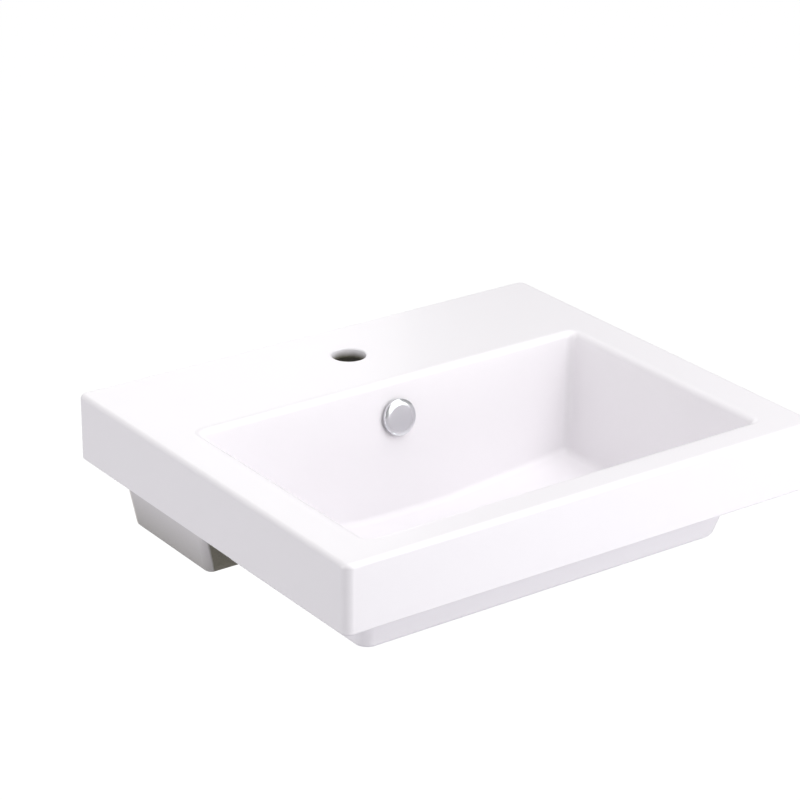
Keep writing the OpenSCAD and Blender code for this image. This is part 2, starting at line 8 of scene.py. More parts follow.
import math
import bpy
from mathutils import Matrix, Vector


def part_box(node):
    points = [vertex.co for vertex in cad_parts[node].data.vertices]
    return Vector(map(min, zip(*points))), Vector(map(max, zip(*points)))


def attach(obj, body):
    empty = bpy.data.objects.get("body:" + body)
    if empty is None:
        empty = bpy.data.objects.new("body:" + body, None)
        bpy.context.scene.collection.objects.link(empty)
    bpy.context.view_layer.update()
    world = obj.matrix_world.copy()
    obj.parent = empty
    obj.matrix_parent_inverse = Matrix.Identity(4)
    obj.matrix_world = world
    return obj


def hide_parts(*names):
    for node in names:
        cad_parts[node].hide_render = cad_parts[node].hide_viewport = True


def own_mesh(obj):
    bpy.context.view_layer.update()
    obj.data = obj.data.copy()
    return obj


bl_info = {
    "name": "Wall-hung basin",
    "version": (1, 0, 0),
    "blender": (4, 5, 0),
    "location": "3D View > Sidebar > Basin",
    "description": "Builds a glazed wall-hung basin with its overflow, waste and fixings",
    "category": "Add Mesh",
}

import bmesh
import bpy
from bpy.props import FloatProperty, FloatVectorProperty, IntProperty, PointerProperty
from mathutils import Matrix, Vector

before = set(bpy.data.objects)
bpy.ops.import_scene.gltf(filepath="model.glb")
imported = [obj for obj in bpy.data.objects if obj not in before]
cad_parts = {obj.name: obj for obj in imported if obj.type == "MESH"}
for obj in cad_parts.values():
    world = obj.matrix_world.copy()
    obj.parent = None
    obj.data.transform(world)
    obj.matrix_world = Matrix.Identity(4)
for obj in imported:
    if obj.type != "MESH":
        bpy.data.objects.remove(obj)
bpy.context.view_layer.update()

MM = 0.001
SLAB_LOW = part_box("basin_rim")[0]
SLAB_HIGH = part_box("basin_deck")[1]
FOOT_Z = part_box("rear_apron")[0].z
RIM_Z = SLAB_HIGH.z

SPIN_STEPS = 96
CORNER_STEPS = 10
LONG_CUTS = 23
SHORT_CUTS = 13
ARC_STEPS = 8
FLOOR_FLAT = 90 * MM
# A tool stands this far past what it cuts
OVER = 3 * MM
WELD = 1e-6
# Nested loops lie this far apart in height, so that a bridge between them knows up from down
LIFT = 0.02 * MM


# Settings


def length(name, description, millimetres):
    return FloatProperty(
        name=name,
        description=description,
        default=millimetres * MM,
        min=0,
        unit="LENGTH",
        precision=4,
    )


def position(name, description, millimetres):
    return FloatProperty(
        name=name, description=description, default=millimetres * MM, unit="LENGTH", precision=4
    )


def angle(name, description, degrees):
    return FloatProperty(
        name=name, description=description, default=math.radians(degrees), subtype="ANGLE"
    )


def colour(name, description, value):
    return FloatVectorProperty(
        name=name, description=description, default=value, size=3, min=0, max=1, subtype="COLOR"
    )


def lamp(name, description, watts):
    return FloatProperty(name=name, description=description, default=watts, min=0, unit="POWER")


class BasinSettings(bpy.types.PropertyGroup):
    """Sizes of the ceramic body."""

    width: length("Width", "Width of the slab", (SLAB_HIGH.x - SLAB_LOW.x) / MM)
    depth: length("Depth", "Depth of the slab from the wall", (SLAB_HIGH.y - SLAB_LOW.y) / MM)
    height: length("Height", "From the rim to the foot of the apron", (RIM_Z - FOOT_Z) / MM)
    slab_height: length("Slab height", "Height of the slab", (RIM_Z - SLAB_LOW.z) / MM)
    corner_radius: length("Corner radius", "Radius of the slab's upright corners", 9)
    edge_radius: length("Edge radius", "Radius of the slab's upper edges", 5)
    low_edge_radius: length("Low edge radius", "Radius of the slab's lower edges", 2)
    wall: length("Wall", "Thickness of the bowl's wall", 9)
    side_rim: length("Side rim", "Width of the rim beside the bowl", 47)
    front_rim: length("Front rim", "Width of the rim in front of the bowl", 34.5)
    tap_deck: length("Tap deck", "Depth of the deck behind the bowl", 147)
    bowl_depth: length("Bowl depth", "Depth of the bowl at the foot of its walls", 122)
    floor_fall: length("Floor fall", "Fall of the floor to the waste", 14)
    floor_thickness: length("Floor thickness", "Thickness of the floor", 9)
    side_lean: angle("Side lean", "Lean of the bowl's side walls", 11)
    back_lean: angle("Back lean", "Lean of the bowl's back wall", 11.5)
    front_lean: angle("Front lean", "Lean of the bowl's front wall", 17)
    lip_radius: length("Lip radius", "Radius of the rolled lip round the bowl", 8)
    floor_radius: length("Floor radius", "Radius where the walls meet the floor", 8)
    bowl_corner: length("Bowl corner", "Radius of the bowl's upright corners", 8)
    under_edge: length("Under edge", "Radius of the underbody's lower edge", 8)
    under_root: length("Under root", "Radius where the underbody meets the slab", 4)
    tap_hole: length("Tap hole", "Diameter of the tap hole", 35)
    tap_from_wall: length("Tap from wall", "Distance of the tap hole from the wall", 69.5)
    tap_lip: length("Tap lip", "Radius of the edge of the tap hole", 2)
    deck_thickness: length("Deck thickness", "Thickness of the deck round the tap hole", 10)
    apron_width: length("Apron width", "Width of the apron at its foot", 422)
    apron_depth: length("Apron depth", "Depth of the apron at its foot", 134)
    apron_side_lean: angle("Apron side lean", "Lean of the apron's sides", 12)
    apron_front_lean: angle("Apron front lean", "Lean of the apron's front", 6)
    apron_corner: length("Apron corner", "Radius of the apron's upright corners", 8)
    apron_foot: length("Apron foot", "Radius of the apron's lower edge", 7)
    room_corner: length("Room corner", "Radius of the corners in the room", 8)
    room_flare: length("Room flare", "Radius where the room opens", 2.5)
    apron_wall: length("Apron wall", "Thickness of the apron's sides and front", 11)
    back_panel: length("Back panel", "Thickness of the panel on the wall", 13)
    pipe_gap: length("Pipe gap", "Width of the gap in the apron's front", 300)
    stud_pitch: length("Stud pitch", "Distance between the wall studs", 280)
    stud_hole: length("Stud hole", "Diameter of the stud holes", 16)
    waste_from_wall: length("Waste from wall", "Distance of the waste from the wall", 250)
    waste_hole: length("Waste hole", "Diameter of the waste hole", 46)
    channel_width: length("Channel width", "Inside width of the overflow channel", 44)
    channel_depth: length("Channel depth", "Inside depth of the overflow channel", 10)
    channel_skin: length("Channel skin", "Thickness of the channel's outer skin", 8)
    glaze: colour("Glaze", "Colour of the glaze", (0.93, 0.905, 0.935))
    # This dark colour of the bare fireclay is painted shade for the room, the apron's front and the
    # tap hole
    shaded_clay: colour("Clay", "Colour of the bare fireclay behind the bowl", (0.2, 0.19, 0.145))
    biscuit: colour("Biscuit", "Colour of the bare fireclay on the wall", (0.6, 0.56, 0.49))


class FittingSettings(bpy.types.PropertyGroup):
    """Sizes and colours of the metal, rubber and plastic fittings."""

    cap_diameter: length("Cap", "Diameter of the overflow cap", 37.5)
    cap_height: length("Cap height", "Height of the cap's face above the wall", 7.6)
    cap_shell: length("Cap shell", "Thickness of the cap", 1.3)
    cap_face: FloatProperty(name="Cap face", description="Flat share of the cap", default=0.62)
    overflow_drop: length("Overflow drop", "Depth of the overflow below the rim", 38)
    overflow_hole: length("Overflow hole", "Diameter of the overflow hole", 26.4)
    flange_diameter: length("Flange", "Diameter of the waste flange", 65)
    tail_diameter: length("Tail", "Outside diameter of the waste tail", 41.91)
    tail_bore: length("Tail bore", "Bore of the waste tail", 35)
    back_nut_flats: length("Back nut", "Width of the back nut across flats", 52)
    plug_diameter: length("Plug", "Diameter of the plug", 46.4)
    plug_travel: length("Plug travel", "Height of the open plug above the closed one", 8)
    tail_pitch: length("Tail pitch", "Pitch of the tail's thread", 2.309)
    thread_depth: length("Thread depth", "Depth of the tail's thread", 1.1)
    stud_diameter: length("Stud", "Diameter of the wall studs", 10)
    stud_in_wall: length("Stud in wall", "Length of a stud inside the wall", 58)
    stud_in_basin: length("Stud in basin", "Length of a stud inside the basin", 52)
    stud_nut_flats: length("Stud nut", "Width of the stud nuts across flats", 17)
    washer_diameter: length("Washer", "Diameter of the washers under the nuts", 30)
    stud_pitch: length("Stud thread", "Pitch of the stud's nut thread", 1.5)
    screw_pitch: length("Screw thread", "Pitch of the stud's wall thread", 4)
    chrome: colour("Chrome", "Colour of the plating", (0.74, 0.75, 0.77))
    brass: colour("Brass", "Colour of the bare brass", (0.68, 0.5, 0.24))
    zinc_steel: colour("Zinc steel", "Colour of the zinc plating", (0.56, 0.57, 0.58))
    spring_steel: colour("Spring steel", "Colour of the spring", (0.42, 0.42, 0.43))
    rubber: colour("Rubber", "Colour of the seals", (0.022, 0.022, 0.024))
    white_plastic: colour("White plastic", "Colour of the bushes", (0.72, 0.72, 0.69))
    grey_plastic: colour("Grey plastic", "Colour of the cartridge", (0.1, 0.105, 0.115))


class StageSettings(bpy.types.PropertyGroup):
    """Camera, lamps and floor."""

    azimuth: angle("Azimuth", "Turn of the camera about Z", -35.58)
    elevation: angle("Elevation", "Height of the camera above the horizon", 23.14)
    roll: angle("Roll", "Roll of the camera", 0.36)
    distance: length("Distance", "Distance of the camera from its target", 2794)
    target_x: position("Target X", "Place across the basin that the camera looks at", -25.2)
    target_y: position("Target Y", "Place from the wall that the camera looks at", -194.4)
    focal_pixels: FloatProperty(
        name="Focal length", description="Focal length in pixels of the photograph", default=2863.6
    )
    frame_pixels: IntProperty(name="Frame", description="Width of the photograph", default=800)
    rim_above_floor: length("Rim height", "Height of the rim above the floor", 850)
    sky: FloatProperty(
        name="Sky", description="Strength of the surroundings as light", default=0.27
    )
    mirrored: FloatProperty(
        name="Mirrored sky", description="Strength of the surroundings in reflections", default=0.45
    )
    key: lamp("Key", "Power of the key lamp", 30)
    overhead: lamp("Overhead", "Power of the overhead lamp", 30.5)
    front: lamp("Front", "Power of the low front lamp", 30)
    left: lamp("Left", "Power of the left lamp", 34.5)
    rear: lamp("Rear", "Power of the lamp behind the basin", 14)


def basin():
    return bpy.context.scene.basin


def fittings():
    return bpy.context.scene.basin_fittings


# Mesh tools


def finish_piece(piece, name, slot, body, *nodes):
    """Shades a raw object smooth, parents it to its body's empty and hides the nodes it replaces.
    """
    mesh = piece.data
    piece.name = mesh.name = name
    mesh.materials.clear()
    mesh.materials.append(material(slot))
    mesh.polygons.foreach_set("material_index", [0] * len(mesh.polygons))
    mesh.polygons.foreach_set("use_smooth", [True] * len(mesh.polygons))
    mesh.set_sharp_from_angle(angle=math.radians(38))
    even = piece.modifiers.new("Even shading", "WEIGHTED_NORMAL")
    even.keep_sharp = True
    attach(piece, body)
    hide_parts(*nodes)
    return piece


def open_face(bm, face):
    """Removes a face and returns the edges round it."""
    edges = list(face.edges)
    bmesh.ops.delete(bm, geom=[face], context="FACES_ONLY")
    return edges


def bevel(bm, geom, radius, steps, affect="EDGES"):
    return bmesh.ops.bevel(
        bm,
        geom=geom,
        offset=radius,
        offset_type="OFFSET",
        affect=affect,
        segments=steps,
        profile=0.5,
        material=-1,
    )["verts"]


def round_corners(bm, corners, radius, steps):
    """Rounds corners of a flat face and returns the face that takes its place."""
    return bevel(bm, corners, radius, steps, "VERTICES")[0].link_faces[0]


def rounded_loop(bm, x, y_front, y_back, radius, z):
    """Draws a rounded rectangle at height z, evenly cut, and returns its edges."""
    place = Matrix.Translation((0, (y_front + y_back) / 2, z)) @ Matrix.Diagonal(
        (2 * x, y_back - y_front, 1, 1)
    )
    corners = bmesh.ops.create_grid(bm, x_segments=1, y_segments=1, size=0.5, matrix=place)["verts"]
    loop = set(open_face(bm, round_corners(bm, corners, radius, CORNER_STEPS)))
    for axis, cuts in ((1, LONG_CUTS), (0, SHORT_CUTS)):
        sides = [e for e in loop if abs(e.verts[0].co[axis] - e.verts[1].co[axis]) < WELD]
        parts = bmesh.ops.subdivide_edges(bm, edges=sides, cuts=cuts)["geom_split"]
        loop |= {part for part in parts if isinstance(part, bmesh.types.BMEdge)}
    return list(loop)


def edges_of(verts):
    return list({e for v in verts for e in v.link_edges})


def round_loop(bm, radius, y, z, segments):
    """Draws a circle at height z and returns its edges."""
    place = Matrix.Translation((0, y, z))
    circle = bmesh.ops.create_circle(
        bm, cap_ends=False, radius=radius, segments=segments, matrix=place
    )
    return edges_of(circle["verts"])


def wire_circle(bm, wire, radius, z, segments, filled=False):
    """Draws the round section of a wire, at a radius from Z, and returns its verts."""
    place = Matrix.Translation((radius, 0, z)) @ Matrix.Rotation(math.pi / 2, 4, "X")
    return bmesh.ops.create_circle(
        bm, cap_ends=filled, radius=wire, segments=segments, matrix=place
    )["verts"]


def bridge(bm, loops):
    """Skins edge loops one after the other and returns the last ring of edges."""
    for low, high in zip(loops, loops[1:]):
        ring = bmesh.ops.bridge_loops(bm, edges=low + high)["edges"]
    return ring


def quarter(steps, start=0.0):
    """Angles from start up to a right angle."""
    return [start + (math.pi / 2 - start) * i / steps for i in range(steps + 1)]


def raw_object(bm):
    """Closes a shape and makes it an object."""
    bmesh.ops.remove_doubles(bm, verts=bm.verts, dist=WELD)
    bmesh.ops.dissolve_degenerate(bm, edges=bm.edges, dist=WELD)
    bmesh.ops.recalc_face_normals(bm, faces=bm.faces)
    mesh = bpy.data.meshes.new("shape")
    bm.to_mesh(mesh)
    bm.free()
    thing = bpy.data.objects.new("shape", mesh)
    bpy.context.scene.collection.objects.link(thing)
    return thing


def carve(thing, operation, *tools):
    """Joins tools to a thing, or cuts them out of it, and removes them."""
    for tool in tools:
        cut = thing.modifiers.new("Cut", "BOOLEAN")
        cut.operation = operation
        cut.solver = "EXACT"
        cut.object = tool
    depsgraph = bpy.context.evaluated_depsgraph_get()
    done = bpy.data.meshes.new_from_object(thing.evaluated_get(depsgraph))
    thing.modifiers.clear()
    thing.data = done
    for tool in tools:
        bpy.data.objects.remove(tool)
    return thing


def outline_face(bm, places):
    """Draws a closed outline through places, in their order, and returns its verts and face."""
    verts = [bm.verts.new(place) for place in places]
    edges = [bm.edges.new(pair) for pair in zip(verts, verts[1:] + verts[:1])]
    return verts, bmesh.ops.contextual_create(bm, geom=edges)["faces"][0]


def profile_face(bm, points):
    """Draws a closed outline of (radius, height, rounding) points and returns its face."""
    verts, face = outline_face(bm, [(r, 0, z) for r, z, _ in points])
    for vert, (_, _, rounding) in zip(verts, points):
        if rounding:
            face = round_corners(bm, [vert], rounding, 4)
    return face


def spin(bm, geom, place, steps, turns=1, rise=0.0):
    """Turns geometry about Z, with a rise at each step, and puts the shape in place."""
    swept = set(geom)
    old = {v for v in bm.verts if v not in swept}
    bmesh.ops.spin(
        bm,
        geom=geom,
        cent=(0, 0, 0),
        axis=(0, 0, 1),
        dvec=(0, 0, rise),
        angle=2 * math.pi * turns,
        space=Matrix(),
        steps=steps,
        use_merge=not rise,
        use_normal_flip=False,
        use_duplicate=False,
    )
    bmesh.ops.transform(bm, matrix=place, verts=[v for v in bm.verts if v not in old])


def spin_edges(bm, outline, place, steps):
    spin(bm, list({v for e in outline for v in e.verts}) + outline, place, steps)


def turned(points, place, steps=SPIN_STEPS):
    """Turns a closed outline, in millimetres, about Z. Edges on the axis drop out."""
    bm = bmesh.new()
    outline = open_face(bm, profile_face(bm, points))
    axis = [e for e in outline if max(v.co.x for v in e.verts) < WELD]
    bmesh.ops.delete(bm, geom=axis, context="EDGES")
    spin_edges(bm, [e for e in outline if e.is_valid], place, steps)
    return raw_object(bm)


def hoop(radius, wire, z, place):
    """A ring of round section, in millimetres."""
    bm = bmesh.new()
    spin_edges(bm, edges_of(wire_circle(bm, wire, radius, z, 20)), place, SPIN_STEPS)
    return raw_object(bm)


def helix(bm, face, pitch, turns, place, steps):
    """Sweeps a face up a screw line about Z."""
    geom = list(face.verts) + list(face.edges) + [face]
    spin(bm, geom, place, round(steps * turns), turns, pitch / steps)


def thread(crest, depth, pitch, low, high, place, steps=48):
    """Screw thread between two heights, in millimetres, which sinks into its core."""
    bm = bmesh.new()
    base = crest - 1.2 * depth
    shape = ((base, 0), (crest, 0.42), (crest, 0.55), (base, 0.97))
    face = profile_face(bm, [(radius, low + share * pitch, 0) for radius, share in shape])
    turn_to = Matrix.Rotation(math.radians(1), 4, "Z")
    helix(bm, face, pitch, math.floor((high - low) / pitch - 1), place @ turn_to, steps)
    return raw_object(bm)


def bar(x, y, z, place, rounding):
    """Box between pairs of limits, in millimetres, with rounded edges."""
    bm = bmesh.new()
    middle = Matrix.Translation((sum(x) / 2, sum(y) / 2, sum(z) / 2))
    size = Matrix.Diagonal((x[1] - x[0], y[1] - y[0], z[1] - z[0], 1))
    bmesh.ops.create_cube(bm, size=1, matrix=middle @ size)
    bevel(bm, bm.edges[:], rounding, 3)
    bmesh.ops.transform(bm, matrix=place, verts=bm.verts)
    return raw_object(bm)


def spokes(count, start, place):
    """Places turned about Z, evenly from a start in degrees."""
    return [
        place @ Matrix.Rotation(math.radians(start + 360 / count * i), 4, "Z") for i in range(count)
    ]


def hex_nut(flats, bore, low, height, place):
    """Hexagon nut with turned corners, in millimetres."""
    corner = flats / math.sqrt(3)
    chamfer = corner - flats / 2 * 0.98
    drop = chamfer * math.tan(math.radians(30))
    high, over, lead = low + height, 1, 0.5
    bm = bmesh.new()
    bmesh.ops.create_cone(
        bm,
        cap_ends=True,
        segments=6,
        radius1=corner,
        radius2=corner,
        depth=height,
        matrix=Matrix.Translation((0, 0, low + height / 2)) @ Matrix.Rotation(math.pi / 2, 4, "Z"),
    )
    bmesh.ops.transform(bm, matrix=place, verts=bm.verts)
    nut = raw_object(bm)

    def waisted(end, middle, slope):
        """Outline that goes from its end radius to its middle one over a slope at each face."""
        ends = [(0, low - over, 0), (end, low - over, 0), (end, low, 0), (middle, low + slope, 0)]
        return ends + [(r, low + high - z, 0) for r, z, _ in reversed(ends)]

    barrel = waisted(corner - chamfer, corner + 0.2, drop)
    carve(nut, "INTERSECT", turned(barrel, place @ Matrix.Rotation(0.02, 4, "Z")))
    return carve(nut, "DIFFERENCE", turned(waisted(bore + lead, bore, lead), place))


def joined(things):
    """Puts raw objects into one mesh."""
    bm = bmesh.new()
    for thing in things:
        bm.from_mesh(thing.data)
        bpy.data.objects.remove(thing)
    return raw_object(bm)


# Places


def at_waste(lift=0.0):
    return Matrix.Translation((0, -basin().waste_from_wall, RIM_Z + lift)) @ Matrix.Scale(MM, 4)


def at_overflow():
    b, drop = basin(), fittings().overflow_drop
    place = Matrix.Translation((0, -b.tap_deck - drop * math.tan(b.back_lean), RIM_Z - drop))
    return place @ Matrix.Rotation(math.pi / 2 - b.back_lean, 4, "X") @ Matrix.Scale(MM, 4)


def at_stud(side):
    place = Matrix.Translation((side * basin().stud_pitch / 2, 0, 0))
    return place @ Matrix.Rotation(math.pi / 2, 4, "X") @ Matrix.Scale(MM, 4)


# Ceramic body


def side_at(z, plane, lean, top, top_radius, bottom, bottom_radius):
    """Place of a leaning wall at height z, with a round out to its top and one in at its foot."""
    slope = math.tan(lean)
    if z > top - top_radius * (1 - math.sin(lean)):
        start = plane + top * slope + top_radius * (1 - math.sin(lean)) / math.cos(lean)
        rise = top_radius + z - top
        return start - math.sqrt(max(top_radius**2 - rise**2, 0))
    centre = bottom + bottom_radius
    touch = centre - bottom_radius * math.sin(lean)
    if z < touch:
        middle = plane + touch * slope - bottom_radius * math.cos(lean)
        return middle + math.sqrt(max(bottom_radius**2 - (centre - z) ** 2, 0))
    return plane + z * slope


class BowlSkin:
    """One skin of the bowl: its inside, or the outside of its wall."""

    def __init__(self, grow, top, top_radius, bottom, bottom_radius):
        self.grow = grow
        self.rounds = (top, top_radius, bottom, bottom_radius)

    def sides(self, z):
        b = basin()
        x = side_at(z, b.width / 2 - b.side_rim + self.grow, b.side_lean, *self.rounds)
        front = side_at(z, b.depth - b.front_rim + self.grow, b.front_lean, *self.rounds)
        back = side_at(z, self.grow - b.tap_deck, b.back_lean, *self.rounds)
        return x, -front, back

    def radius(self, z):
        b = basin()
        plain = b.width / 2 - b.side_rim + self.grow + z * math.tan(b.side_lean)
        return b.bowl_corner + self.grow / 2 + max(self.sides(z)[0] - plain, 0)

    def heights(self):
        """Levels of the loops in the upper round and in the lower one, from the top down."""
        top, top_radius, bottom, bottom_radius = self.rounds
        lean = basin().side_lean
        upper = [top - top_radius * (1 - math.sin(a)) for a in quarter(ARC_STEPS, lean)]
        upper[-1] -= LIFT
        lower = [bottom + bottom_radius * (1 - math.sin(a)) for a in quarter(ARC_STEPS, lean)]
        return upper[::-1], lower

    def loop(self, bm, z, sag=0.0):
        """A loop at height z. Its back edge slides down the back wall by the sag."""
        x, front, back = self.sides(z)
        edges = rounded_loop(bm, x, front, back, self.radius(z), RIM_Z + z)
        corner = x - self.radius(z)
        for vert in {v for e in edges for v in e.verts} if sag else ():
            if vert.co.y > back - WELD:
                share = (corner - abs(vert.co.x)) / (corner - FLOOR_FLAT / 2)
                drop = sag * min(1, max(0, share))
                vert.co.z -= drop
                vert.co.y -= drop * math.tan(basin().back_lean)
        return edges


def slab_loops(bm):
    """Loops of the slab from its underside up to its top."""
    b = basin()
    high, low = b.edge_radius, b.low_edge_radius

    def loop(inset, z):
        x, front = b.width / 2 - inset, inset - b.depth
        return rounded_loop(bm, x, front, -inset, b.corner_radius - inset, RIM_Z + z)

    turns = [(1 - math.sin(a), 1 - math.cos(a)) for a in quarter(ARC_STEPS)]
    lower = [loop(low * inset, low * rise - b.slab_height) for inset, rise in turns]
    upper = [loop(high * inset, -high * drop) for drop, inset in turns]
    return lower + upper


def bowl_and_slab():
    """Closed skin of the slab and the bowl, from the waste hole outwards and back in."""
    b = basin()
    bm = bmesh.new()
    slab = slab_loops(bm)
    hole_radius = b.waste_hole / 2
    floor_z = RIM_Z - b.bowl_depth - b.floor_fall
    seat_z = floor_z - MM
    boss_z = seat_z - b.floor_thickness - 15.5 * MM
    boss_radius = 36.5 * MM

    def ring(radius, z):
        return round_loop(bm, radius, -b.waste_from_wall, z, len(slab[0]))

    hole = [
        ring(35.4 * MM, floor_z),
        ring(35 * MM, floor_z - 0.3 * MM),
        ring(35 * MM, seat_z),
        ring(hole_radius, seat_z - LIFT),
        ring(hole_radius, boss_z + MM),
        ring(hole_radius + MM, boss_z),
        ring(boss_radius - 2 * MM, boss_z + LIFT),
        ring(boss_radius, boss_z + 2 * MM),
        ring(boss_radius, floor_z - b.floor_thickness),
    ]
    under = BowlSkin(
        b.wall, -b.slab_height, b.under_root, -b.bowl_depth - b.floor_thickness, b.under_edge
    )
    inside = BowlSkin(0, 0, b.lip_radius, -b.bowl_depth, b.floor_radius)
    root, foot = under.heights()
    lip, cove = inside.heights()
    sag = b.floor_fall - MM
    outside = [under.loop(bm, z, sag) for z in foot[::-1]] + [under.loop(bm, z) for z in root[::-1]]
    bowl = [inside.loop(bm, z) for z in lip] + [inside.loop(bm, z, sag) for z in cove]
    bridge(bm, hole)
    bridge(bm, outside + slab + bowl)
    for rim, end in ((outside[0], hole[-1]), (bowl[-1], hole[0])):
        cut_ring(bm, bridge(bm, [rim, end]))
    return raw_object(bm)


def cut_ring(bm, ring):
    """Cuts a wide ring of faces into narrower ones."""
    bmesh.ops.subdivide_edgering(bm, edges=ring, interp_mode="LINEAR", cuts=9)


def apron_sides(z, inset=0.0):
    """Half width and front of the apron at height z."""
    b = basin()
    rise = z + b.height
    x = b.apron_width / 2 + rise * math.tan(b.apron_side_lean) - inset
    return x, inset - b.apron_depth - rise * math.tan(b.apron_front_lean)


def cap_ends(bm, loops):
    for loop in (loops[0], loops[-1]):
        bmesh.ops.edgeloop_fill(bm, edges=loop)


def apron_block():
    """Block that lies on the wall, rounded at its foot and cut flat at its back."""
    b = basin()
    bm = bmesh.new()
    foot, radius = b.apron_foot, b.apron_corner
    levels = [(foot * (1 - math.cos(a)), foot * (1 - math.sin(a))) for a in quarter(ARC_STEPS)]
    levels.append((b.height - b.slab_height + b.low_edge_radius, 0))
    loops = []
    for rise, inset in levels:
        x, front = apron_sides(rise - b.height, inset)
        z = RIM_Z - b.height + rise
        loops.append(rounded_loop(bm, x, front, radius, radius - inset / 2, z))
    bridge(bm, loops)
    cap_ends(bm, loops)
    whole = bm.verts[:] + bm.edges[:] + bm.faces[:]
    cut = bmesh.ops.bisect_plane(
        bm, geom=whole, dist=1e-7, plane_co=(0, 0, 0), plane_no=(0, 1, 0), clear_outer=True
    )["geom_cut"]
    bmesh.ops.edgeloop_fill(bm, edges=[e for e in cut if isinstance(e, bmesh.types.BMEdge)])
    return raw_object(bm)


def room_block():
    """Room inside the apron, flared where it opens at the foot."""
    b = basin()
    bm = bmesh.new()
    flare, radius = b.room_flare, b.room_corner
    low, high = -b.height, -b.deck_thickness
    levels = [(low - OVER, flare)]
    levels += [(low + flare * (1 - math.cos(a)), flare * (1 - math.sin(a))) for a in quarter(5)]
    levels += [(high - radius * (1 - math.sin(a)), -radius * (1 - math.cos(a))) for a in quarter(5)]
    loops = []
    for z, grow in levels:
        x, _ = apron_sides(z)
        front, back = b.apron_wall - b.apron_depth - grow, min(grow, 0) - b.back_panel
        radius_here = b.room_corner + max(grow, 0) + 0.3 * min(grow, 0)
        loops.append(
            rounded_loop(bm, x - b.apron_wall + grow, front, back, radius_here, RIM_Z + z)
        )
    bridge(bm, loops)
    cap_ends(bm, loops)
    return raw_object(bm)


def side_block(half_width, outline, rounding=0.0):
    """Block with an outline of (y, z) points, z counted from the rim, drawn out along X."""
    bm = bmesh.new()
    _, face = outline_face(bm, [(-half_width, y, RIM_Z + z) for y, z in outline])
    moved = bmesh.ops.extrude_face_region(bm, geom=[face])["geom"]
    moved = [v for v in moved if isinstance(v, bmesh.types.BMVert)]
    bmesh.ops.translate(bm, vec=(2 * half_width, 0, 0), verts=moved)
    bmesh.ops.recalc_face_normals(bm, faces=bm.faces)
    if rounding:
        bevel(bm, bm.edges[:], rounding, 4)
    return raw_object(bm)


def wall_plane(z, grow):
    """Place of the bowl's back wall at height z, seen from the side."""
    b = basin()
    return grow - b.tap_deck + z * math.tan(b.back_lean)


def pipe_gap_block():
    b = basin()
    inner = -b.apron_depth + b.apron_wall + b.room_corner
    high, low = -b.slab_height / 2, -b.height - OVER
    clear = b.wall + 0.05 * MM
    outer = wall_plane(-b.slab_height, clear)
    outline = [(inner, low), (inner, high), (wall_plane(high, clear), high)]
    outline += [(outer, -b.slab_height), (outer, low)]
    return side_block(b.pipe_gap / 2, outline)


def channel_block(skin):
    """Overflow channel behind the back wall and under the floor. Its skin is 0 for the hollow."""
    b, f = basin(), fittings()
    head = -f.overflow_drop + f.overflow_hole / 2 + MM
    seat = -b.bowl_depth - b.floor_fall - MM
    bend = seat + MM
    top = seat - b.floor_thickness + 1.5 * MM
    floor = top - b.channel_depth + MM
    sunk = 3 * MM if skin else 0
    back = b.wall + b.channel_depth + skin
    outline = [
        (wall_plane(head, b.wall - sunk), head + skin),
        (wall_plane(head, back), head + skin),
        (wall_plane(bend, back), bend),
        (wall_plane(bend, back) - 3 * MM, floor - skin),
        (-b.waste_from_wall, floor - skin),
        (-b.waste_from_wall, top + sunk),
        (wall_plane(bend, b.wall / 2), top + sunk),
        (wall_plane(bend, b.wall - sunk), bend),
    ]
    rounding = 3 * MM if skin else 2 * MM
    return side_block(b.channel_width / 2 + skin, outline, rounding)


def tap_hole_tool():
    b = basin()
    radius, lip, over = b.tap_hole / 2 / MM, b.tap_lip / MM, OVER / MM
    low = -b.deck_thickness / MM - over
    turns = [(1 - math.cos(a), math.sin(a) - 1) for a in quarter(ARC_STEPS)]
    outline = [(0, low, 0), (radius, low, 0)]
    outline += [(radius + lip * out, lip * rise, 0) for out, rise in turns]
    outline += [(radius + lip, over, 0), (0, over, 0)]
    place = Matrix.Translation((0, -b.tap_from_wall, RIM_Z)) @ Matrix.Scale(MM, 4)
    return turned(outline, place)


def pin(diameter, low, high):
    """Outline of a plain cylinder, with its levels in millimetres."""
    radius = diameter / 2 / MM
    return [(0, low, 0), (radius, low, 0), (radius, high, 0), (0, high, 0)]


def ceramic_body():
    b = basin()
    overflow = pin(fittings().overflow_hole, -16, 8)
    stud_tool = pin(b.stud_hole, -OVER / MM, (b.back_panel + OVER) / MM)
    body = carve(bowl_and_slab(), "UNION", apron_block())
    carve(body, "DIFFERENCE", room_block(), pipe_gap_block())
    carve(body, "UNION", channel_block(b.channel_skin))
    carve(body, "DIFFERENCE", channel_block(0), tap_hole_tool())
    carve(body, "DIFFERENCE", turned(overflow, at_overflow()))
    carve(body, "DIFFERENCE", *[turned(stud_tool, at_stud(side)) for side in (-1, 1)])
    return body


# Fittings

# Levels of the waste's parts below its seat, in millimetres
LID_DROP = 14.4
COLLAR_DROP = 27.7
SPRING_DROP = 32.5
BRIDGE_DROP = 35.5
CUP_NUT_DROP = 44.5
TAIL_DROP = 63.5
# Gap between a nut or washer and what it goes over, in millimetres
FIT = 0.05


def band(inner, outer, low, high, *roundings):
    """Outline of a ring with a rounding for each corner."""
    corners = ((inner, low), (outer, low), (outer, high), (inner, high))
    return [(*corner, rounding) for corner, rounding in zip(corners, roundings)]


